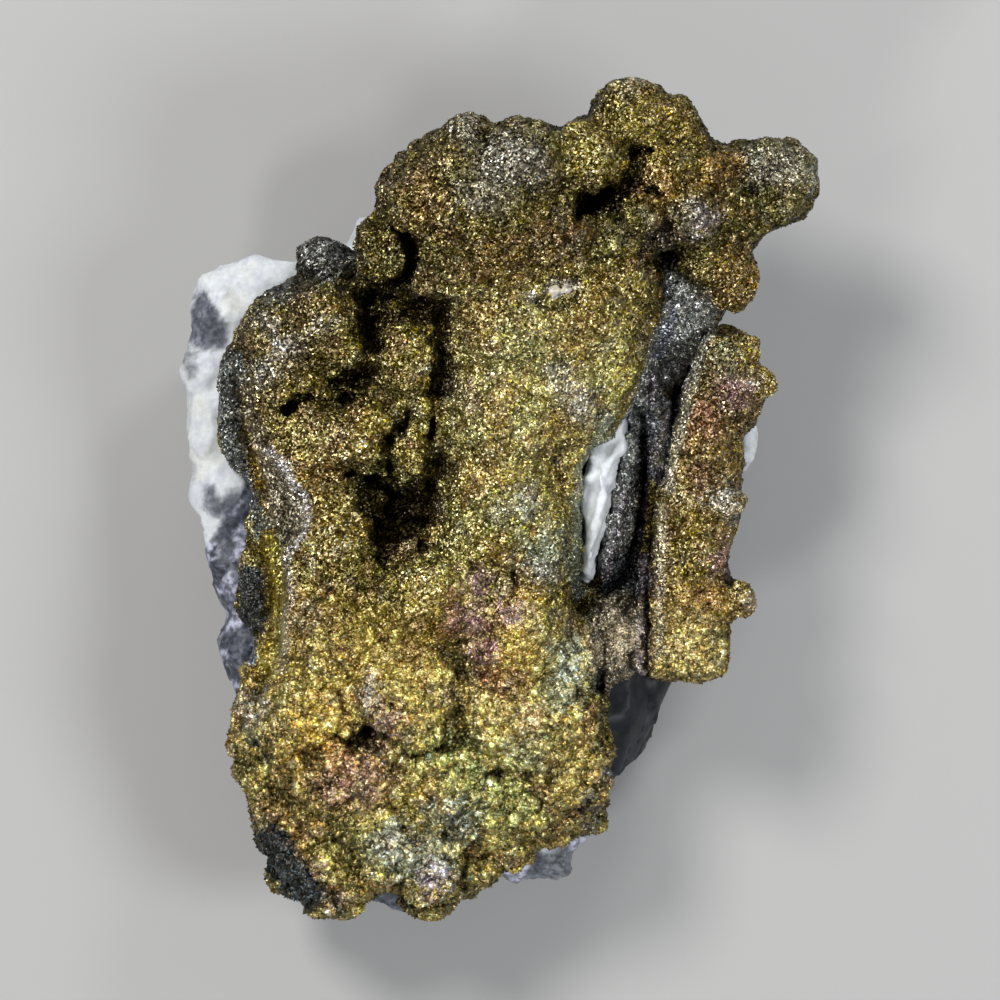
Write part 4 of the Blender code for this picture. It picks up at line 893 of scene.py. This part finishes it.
class Look:
    """A material under making, with short forms for its nodes."""

    def __init__(self, name):
        self.material = bpy.data.materials.new(name)
        self.material.use_nodes = True
        self.tree = self.material.node_tree
        self.shader = self.tree.nodes["Principled BSDF"]

    def fill(self, node, sources=(), values=()):
        """Links a node's sockets to their sources, and sets the fixed values of others."""
        for socket, source in dict(sources).items():
            self.tree.links.new(source, node.inputs[socket])
        for socket, value in dict(values).items():
            node.inputs[socket].default_value = value

    def node(self, kind, sources=(), values=(), **settings):
        made = self.tree.nodes.new("ShaderNode" + kind)
        for name, value in settings.items():
            setattr(made, name, value)
        self.fill(made, sources, values)
        return made

    def tint(self):
        return self.node("VertexColor", layer_name="tint").outputs

    def place(self):
        return self.node("TexCoord").outputs["Object"]

    def ranged(self, source, low, high, start=0.0, end=1.0):
        """A value that goes from low to high while its source goes from start to end."""
        values = {"From Min": start, "From Max": end, "To Min": low, "To Max": high}
        return self.node("MapRange", {"Value": source}, values).outputs["Result"]

    def maths(self, operation, source, number):
        return self.node("Math", {0: source}, {1: number}, operation=operation).outputs[0]

    def blend(self, share, first, second):
        return self.node("Mix", {0: share, 2: first, 3: second}).outputs[0]

    def vector(self, operation, sources, values=()):
        return self.node("VectorMath", sources, values, operation=operation).outputs["Vector"]

    def grains(self, place, size):
        """A random colour for each grain of a size in millimetres."""
        scale = {"Scale": 1.0 / (size * MM)}
        return self.node("TexVoronoi", {"Vector": place}, scale).outputs["Color"]


def grain_colour(look, place, foot):
    """A random colour for each grain, fine above and coarse at the foot, where it is calmer."""
    sources = {0: foot, 6: look.grains(place, GRAIN_SIZE), 7: look.grains(place, FOOT_GRAIN_SIZE)}
    grain = look.node("Mix", sources, data_type="RGBA").outputs[2]
    sources = {0: look.maths("MULTIPLY", foot, FOOT_CALM), 6: grain}
    return look.node("Mix", sources, {7: (0.5, 0.5, 0.5, 1.0)}, data_type="RGBA").outputs[2]


def grain_normal(look, grain):
    """The surface's normal, tilted for each grain by its random colour."""
    tilt = look.vector("SUBTRACT", {0: grain}, {1: (0.5, 0.5, 0.5)})
    spread = look.vector("SCALE", {0: tilt}, {"Scale": GRAIN_TILT})
    normal = look.node("NewGeometry").outputs["Normal"]
    return look.vector("NORMALIZE", {0: look.vector("ADD", {0: normal, 1: spread})})


def druse_material():
    """Metal whose grains, too fine for the mesh, each tilt and shade by themselves."""
    look = Look("druse")
    tint = look.tint()
    place = look.place()
    axes = look.node("SeparateXYZ", {"Vector": place}).outputs
    foot = look.ranged(axes["Y"], 0.0, 1.0, FINE_ABOVE * MM, COARSE_BELOW * MM)
    grain = grain_colour(look, place, foot)
    random = look.node("SeparateColor", {"Color": grain}).outputs
    even = look.ranged(random["Red"], 0.62, 1.42)
    rare = look.ranged(look.maths("POWER", random["Red"], 3.0), 0.22, 3.3)
    colour = look.node("HueSaturation", {
        "Hue": look.ranged(random["Blue"], 0.482, 0.540),
        "Saturation": look.ranged(random["Red"], 1.25, 0.62),
        "Value": look.blend(tint["Alpha"], even, rare),
        "Color": tint["Color"],
    })
    sources = {
        "Base Color": colour.outputs["Color"],
        "Normal": grain_normal(look, grain),
        "Roughness": look.ranged(foot, 0.36, 0.46),
    }
    look.fill(look.shader, sources, {"Metallic": 1.0})
    return look.material


def rock_material(name, roughness, scale, depth):
    """A dull mineral: its painted colour, fine mottling and a fine bump, spotted where alpha says."""
    look = Look(name)
    tint = look.tint()
    values = {"Scale": scale, "Detail": 6.0}
    mottle = look.node("TexNoise", {"Vector": look.place()}, values).outputs["Fac"]
    vary = look.ranged(mottle, 0.7, 1.2)
    spots = look.ranged(mottle, 0.35, 1.65, 0.38, 0.62)
    tone = look.vector("SCALE", {0: tint["Color"], "Scale": look.blend(tint["Alpha"], vary, spots)})
    bump = look.node("Bump", {"Height": mottle}, {"Distance": depth * MM, "Strength": 0.6})
    sources = {"Base Color": tone, "Normal": bump.outputs["Normal"]}
    look.fill(look.shader, sources, {"Roughness": roughness, "Specular IOR Level": 0.3})
    return look.material


def bulges(points, kind, swell, level, lift):
    """Height of round nodules: how much each swells about a level, and its own lift."""
    near, _, number = cells(points, *kind)
    return swell * (level - near * near) + lift * (number - 0.5)


def druse_relief(points, facing):
    """How far the skin is pushed out, in millimetres: nodules, cracks, rim, groove and grain."""
    up = ramp(facing[:, 2], -0.2, 0.4)
    foot = ramp(-points[:, 1], *FOOT)
    push = bulges(points, NODULE, 0.62, 0.5, 0.22) + foot * bulges(points, FOOT_LUMP, 1.3, 0.40, 0.7)
    push = push + bulges(points, BEAD, 0.42, 0.5, 0.12)
    push = push + 0.40 * wave(points, 1.0, 2, 71)
    smooth_band = ramp(off_line(points, GROOVE_LINE), 1.2, 0.6)
    shelf = ramp(inside(points, SHELF), -0.4, 0.4)
    push *= 1.0 - 0.8 * np.maximum(smooth_band, shelf) * up
    push -= 0.35 * smooth_band * up
    fading = 1.0 - 0.5 * ramp(-points[:, 1], *RIM_FADE)
    push += 0.70 * np.exp(-(off_line(points, RIM_LINE) / 0.45) ** 2) * up * fading
    return push - 0.15


def shape_druse(name, node, lumps, cuts, fills=()):
    piece = skin(name, node, DRUSE_VOXEL, 3, lumps, cuts, fills)
    mesh, points, facing = surface(piece)
    heights.add(pushed(mesh, points, facing, druse_relief(points, facing)))
    mesh.shade_flat()
    return piece


def finish_druse(base, name, node, look, seed, parcels, wall=False):
    """Paints a druse skin and grows crystals on it, a piece for each parcel."""
    mesh, points, facing = surface(base)
    paint(mesh, druse_colours(points, facing, wall) * 0.8, sparkle_of(points))
    settle(base, node, look)
    draw = np.random.default_rng(seed)
    faces = triangles(mesh)
    for number, (form, count) in enumerate(parcels):
        spots, spots_facing = scattered(points, faces, count, draw)
        piece = crystals(f"{name}_{number}", spots, spots_facing, form, draw, wall)
        settle(piece, node, look)


# Blue-grey inclusions in the calcite: strength and outline in plan.
INCLUSIONS = [
    (0.95, (-29.7, 21.2), (-31, 20.4), (-31.6, 18), (-31.4, 16.3), (-30, 15.2), (-27.7, 15.6),
     (-27.4, 17.5), (-28.6, 19), (-29.3, 20.2)),
    (0.7, (-31.8, 15.4), (-30.6, 15), (-30.4, 12.9), (-31.2, 12.2), (-32, 13.6)),
    (0.9, (-29.9, 1.2), (-28.8, 1.5), (-28.6, 0.2), (-27.9, 0.2), (-27.4, 1.2), (-26.6, 0.9),
     (-26.5, -0.6), (-27, -2), (-28.6, -1.7), (-29.6, -0.4)),
    (0.8, (3.2, -35.4), (5.2, -35.8), (7.2, -35.2), (7.6, -39), (3.2, -39)),
    (0.55, (-12.6, -38), (-9.6, -38), (-9.4, -42), (-12.6, -42)),
]
CALCITE_LUMPS = [
    (-24.6, 23.8, 1.5, 1.2, 0.3), (-29.4, 21.8, 1.3, 1.2, 0.3, 40), (-31, 14, 1, 1.3, 0.3),
    (-30.8, 6, 1, 1.6, 0.3), (-29.6, -2, 1, 1.5, 0.3, 10), (-28.4, -6.2, 0.9, 1.2, 0.3),
    (-27.2, -15.6, 1.1, 1.2, 0.3), (7.4, -34.6, 1.2, 0.9, 0.4, 30), (5.8, -37, 1.6, 1.2, 0.4),
    (2, -37.4, 1.4, 1.1, 0.3), (-10.6, -40.2, 1.3, 1, 0.3),
]
# The vein's left side, which lies against the druse: middle, radii and any turn.
VEIN_FILLS = [
    ((10.8, 6.6, 24), (0.6, 1.1, 1.4), -20), ((9.4, 4.6, 23.9), (0.9, 1.3, 1.4), -15),
    ((8.9, 2.4, 23.5), (0.9, 1.6, 1.4), -10), ((8.5, 0.2, 23.1), (0.7, 1.2, 1.3)),
    ((12.1, 5.4, 24.3), (0.6, 1.1, 1.3), -20), ((8.7, -3, 23.1), (0.6, 1.6, 1.2)),
    ((8.5, -6.6, 21.8), (0.6, 1.1, 1.3)), ((12, 7.2, 23.8), (0.5, 1, 1.2), -20),
    ((8.5, 1.4, 22.9), (0.6, 1.7, 1.3)), ((8.3, -1.6, 22.7), (0.55, 1.6, 1.3)),
    ((8.3, -4.8, 22.2), (0.55, 1.5, 1.3)),
]
# The slab turns from white to mottled blue-grey below this line: a point on it and its rise.
GREY_BELOW = (-29.2, -4.0, 1.65)
CALCITE_WHITE = (0.70, 0.74, 0.78)
CALCITE_CREAM = (0.72, 0.74, 0.70)
CALCITE_GREY = (0.055, 0.063, 0.085)
CALCITE_SMOKE = (0.15, 0.165, 0.205)
CALCITE_MID = (0.135, 0.148, 0.188)
CALCITE_LILAC = (0.44, 0.45, 0.57)
NODULE_GREY = (0.17, 0.185, 0.20)
NODULE_BLUE = (0.15, 0.17, 0.22)
# Noises of the calcite, by size, octaves and seed: coarse patches and fine spots.
COARSE = (2.4, 4, 37)
FINE = (1.1, 3, 43)
# Spots of the calcite's nodules: x, y, radius, colour and strength.
CALCITE_SPOTS = [
    (3.9, -34.8, 0.8, CALCITE_WHITE, 0.9), (5.0, -34.7, 0.7, CALCITE_WHITE, 0.9),
    (1.4, -37.4, 1.5, CALCITE_LILAC, 0.8), (7.6, -34.0, 1.0, CALCITE_LILAC, 0.9),
    (5.8, -37.0, 1.7, NODULE_GREY, 0.8), (-12.0, -39.2, 0.9, CALCITE_LILAC, 0.9),
    (-10.2, -40.6, 1.2, NODULE_BLUE, 0.8),
]


def shape_calcite():
    """The calcite's skin, roughest on the vein and at the bottom."""
    piece = skin("calcite_skin", "calcite_layer", 0.45, 2, CALCITE_LUMPS, fills=VEIN_FILLS)
    mesh, points, facing = surface(piece)
    x, y = points[:, 0], points[:, 1]
    _, _, number = cells(points, 2.1, 13)
    push = 0.55 * wave(points, 2.4, 3, 17) + 0.45 * (number - 0.5)
    vein = ramp(x, 6.0, 8.0) * ramp(y, -12.0, -10.0)
    rough = np.maximum(vein, ramp(-y, 31.0, 34.0))
    push += (0.28 + 0.60 * rough) * wave(points, 1.0, 2, 19)
    heights.add(pushed(mesh, points, facing, push - 0.1))
    return piece


def calcite_body(points, moved, coarse, fine):
    """White calcite that turns mottled blue-grey below the line, and the share that is grey."""
    px, py, rise = GREY_BELOW
    below = py + rise * (moved[:, 0] - px) - moved[:, 1]
    grey = ramp(below, -0.6, 0.8) * ramp(points[:, 0], -2.0, -4.0)
    grey = np.maximum(grey, ramp(-points[:, 1], 30.0, 31.0) * 0.85)
    mottled = layered(all_over(points, CALCITE_MID), [
        (CALCITE_GREY, 0.9 * ramp(coarse, 0.40, 0.50)),
        (CALCITE_LILAC, 0.8 * ramp(0.6 * fine + 0.4 * (1.0 - coarse), 0.54, 0.60)),
    ])
    return layered(all_over(points, CALCITE_WHITE), [
        (CALCITE_CREAM, 0.6 * ramp(coarse, 0.5, 0.65)),
        (CALCITE_LILAC, 0.30 * ramp(fine, 0.52, 0.66)),
        (mottled, grey),
    ]), grey


def calcite_colours(points):
    """Colour of the calcite at each point, with painted shade under the druse and in the slot beside the
    wall, and how spotted it is there.
    """
    x, y, z = points.T
    warp = np.stack([wave(points, 1.6, 3, seed) for seed in (29, 33)], axis=1)
    moved = points[:, :2] + 1.1 * warp
    coarse = rough_noise(points, *COARSE)
    fine = rough_noise(points, *FINE)
    smoke = all_over(points, CALCITE_SMOKE)
    colours, spotted = calcite_body(points, moved, coarse, fine)
    dark = mixed(smoke, CALCITE_GREY, 0.9 * ramp(fine, 0.46, 0.58))
    sides = ramp(z, 13.0, 9.0) * ramp(coarse, 0.40, 0.55)
    for strength, *outline in INCLUSIONS:
        share = strength * (1.0 - sides) * ramp(inside(moved, outline), -0.45, 0.20)
        spotted = np.maximum(spotted, 0.6 * share)
        colours = mixed(colours, dark, share)
    for px, py, radius, colour, strength in CALCITE_SPOTS:
        gap = np.hypot(moved[:, 0] - px, moved[:, 1] - py) / radius
        colours = mixed(colours, colour, strength * ramp(gap, 1.1, 0.6))
    # Painted shade: the calcite under the druse is black.
    shade_under_druse = ramp(x, -22.0, -20.0) * ramp(x, 7.5, 6.5)
    shade_under_druse *= ramp(y, -33.0, -31.0) * ramp(y, 22.0, 19.0)
    # Beside the wall the calcite is smoky grey with lilac streaks, its own look darkened as painted shade
    # of the slot.
    streaked = mixed(smoke, CALCITE_LILAC, 0.6 * ramp(fine, 0.5, 0.6))
    beside = ramp(x, 12.4, 12.9) * ramp(x, 20.0, 19.4)
    return layered(colours, [(BLACK, 0.97 * shade_under_druse), (streaked, beside)]), 0.8 * spotted


def finish_calcite(piece, look):
    mesh = piece.data
    paint(mesh, *calcite_colours(coordinates(mesh)))
    mesh.shade_smooth()
    settle(piece, "calcite_layer", look)


SLATE_DARK = (0.006, 0.0075, 0.011)
SLATE_LIGHT = (0.014, 0.018, 0.025)
SLATE_SHEEN = (0.085, 0.095, 0.105)
SLATE_BLOTCHES = [(SLATE_SHEEN, 0.4, 1.3, 3, 79, 0.60, 0.70)]


def make_slate(look):
    """Slate with small broken facets, flat underneath where it lies on the floor."""
    piece = skin("slate_skin", "slate_matrix", 0.55, 1)
    mesh, points, facing = surface(piece)
    flat = ramp(points[:, 2], 0.3, 1.2)
    _, _, number = cells(points, 2.4, 57)
    push = 0.35 * wave(points, 3.0, 3, 53) + 0.60 * (number - 0.5)
    push += 0.20 * wave(points, 0.9, 2, 61)
    points = pushed(mesh, points, facing, push * flat)
    coarse = rough_noise(points, 2.0, 4, 73) + 0.3 * (number - 0.5)
    colours = mixed(all_over(points, SLATE_DARK), SLATE_LIGHT, ramp(coarse, 0.42, 0.62))
    paint(mesh, blotched(colours, points, SLATE_BLOTCHES))
    mesh.shade_smooth()
    settle(piece, "slate_matrix", look)


GRAIN_CREAM = (0.60, 0.54, 0.44)
GRAIN_DARK = (0.16, 0.15, 0.15)
GRAIN_WHITE = (0.85, 0.80, 0.78)
GRAIN_BLOTCHES = [(GRAIN_DARK, 1.0, 0.7, 2, 101, 0.46, 0.60), (GRAIN_WHITE, 1.0, 0.5, 2, 103, 0.55, 0.68)]


def make_grains(look):
    piece = skin("pale_crystals", "calcite_grains", 0.13, 3)
    mesh, points, facing = surface(piece)
    points = pushed(mesh, points, facing, 0.12 * (rough_noise(points, 0.4, 2, 97) - 0.6))
    paint(mesh, blotched(all_over(points, GRAIN_CREAM), points, GRAIN_BLOTCHES))
    mesh.shade_flat()
    settle(piece, "calcite_grains", look)


def make_floor():
    form = bmesh.new()
    bmesh.ops.create_grid(form, x_segments=1, y_segments=1, size=1.5)
    mesh = bpy.data.meshes.new("floor")
    form.to_mesh(mesh)
    form.free()
    look = Look("floor")
    look.fill(look.shader, values={"Base Color": (0.40, 0.40, 0.40, 1.0), "Roughness": 0.9})
    mesh.materials.append(look.material)
    placed("floor", mesh)


# Soft lamps that look at the specimen: name, place, size in metres, power and colour.
LAMPS = [
    ("key", (-0.32, 0.38, 0.72), 0.26, 5.0, (1.0, 0.98, 0.95)),
    ("fill", (0.50, -0.14, 0.58), 0.26, 2.7, (0.96, 0.98, 1.0)),
    ("back", (0.30, 0.55, 0.45), 0.16, 1.5, (1.0, 1.0, 1.0)),
    ("front", (-0.35, -0.50, 0.60), 0.18, 2.0, (1.0, 0.99, 0.97)),
]
LAMP_TARGET = Vector((0.0, 0.0, 0.02))


def make_lights():
    world = bpy.data.worlds.new("studio")
    world.use_nodes = True
    sky = world.node_tree.nodes["Background"]
    sky.inputs["Color"].default_value = (0.95, 0.97, 1.0, 1.0)
    sky.inputs["Strength"].default_value = 0.22
    bpy.context.scene.world = world
    bpy.context.scene.view_settings.view_transform = "Standard"
    for name, place, size, power, colour in LAMPS:
        light = bpy.data.lights.new(name, "AREA")
        light.shape = "DISK"
        light.size = size
        light.energy = power
        light.color = colour
        lamp = placed(name, light)
        lamp.location = place
        lamp.rotation_euler = (LAMP_TARGET - Vector(place)).to_track_quat("-Z", "Y").to_euler()


def make_camera():
    """Straight above, so that 100 mm at mid height fill the square picture."""
    data = bpy.data.cameras.new("camera")
    data.lens = 400.0
    data.sensor_width = 36.0
    data.clip_start = 0.05
    data.clip_end = 20.0
    mid_height = 24.0 * MM
    distance = data.lens / data.sensor_width * 100.0 * MM
    camera = placed("camera", data)
    camera.location = (SHIFT[0] * MM, SHIFT[1] * MM, mid_height + distance)
    bpy.context.scene.camera = camera


def main():
    """Shapes first all the skins that shade each other, whose heights set the painted shade, and then
    paints them.
    """
    make_camera()
    make_lights()
    make_floor()
    crust = shape_druse("crust_skin", "pyrite_crust", CRUST_LUMPS, CRUST_CUTS, CRUST_FILLS)
    wall = shape_druse("wall_skin", "pyrite_wall", WALL_LUMPS, WALL_CUTS)
    calcite = shape_calcite()
    druse = druse_material()
    finish_druse(crust, "crust_crystals", "pyrite_crust", druse, 5, CRUST_PARCELS)
    finish_druse(wall, "wall_crystals", "pyrite_wall", druse, 6, WALL_PARCELS, wall=True)
    finish_calcite(calcite, rock_material("calcite", 0.45, 1800.0, 0.12))
    make_slate(rock_material("slate", 0.50, 1400.0, 0.06))
    make_grains(rock_material("pale_crystals", 0.25, 2000.0, 0.03))


main()
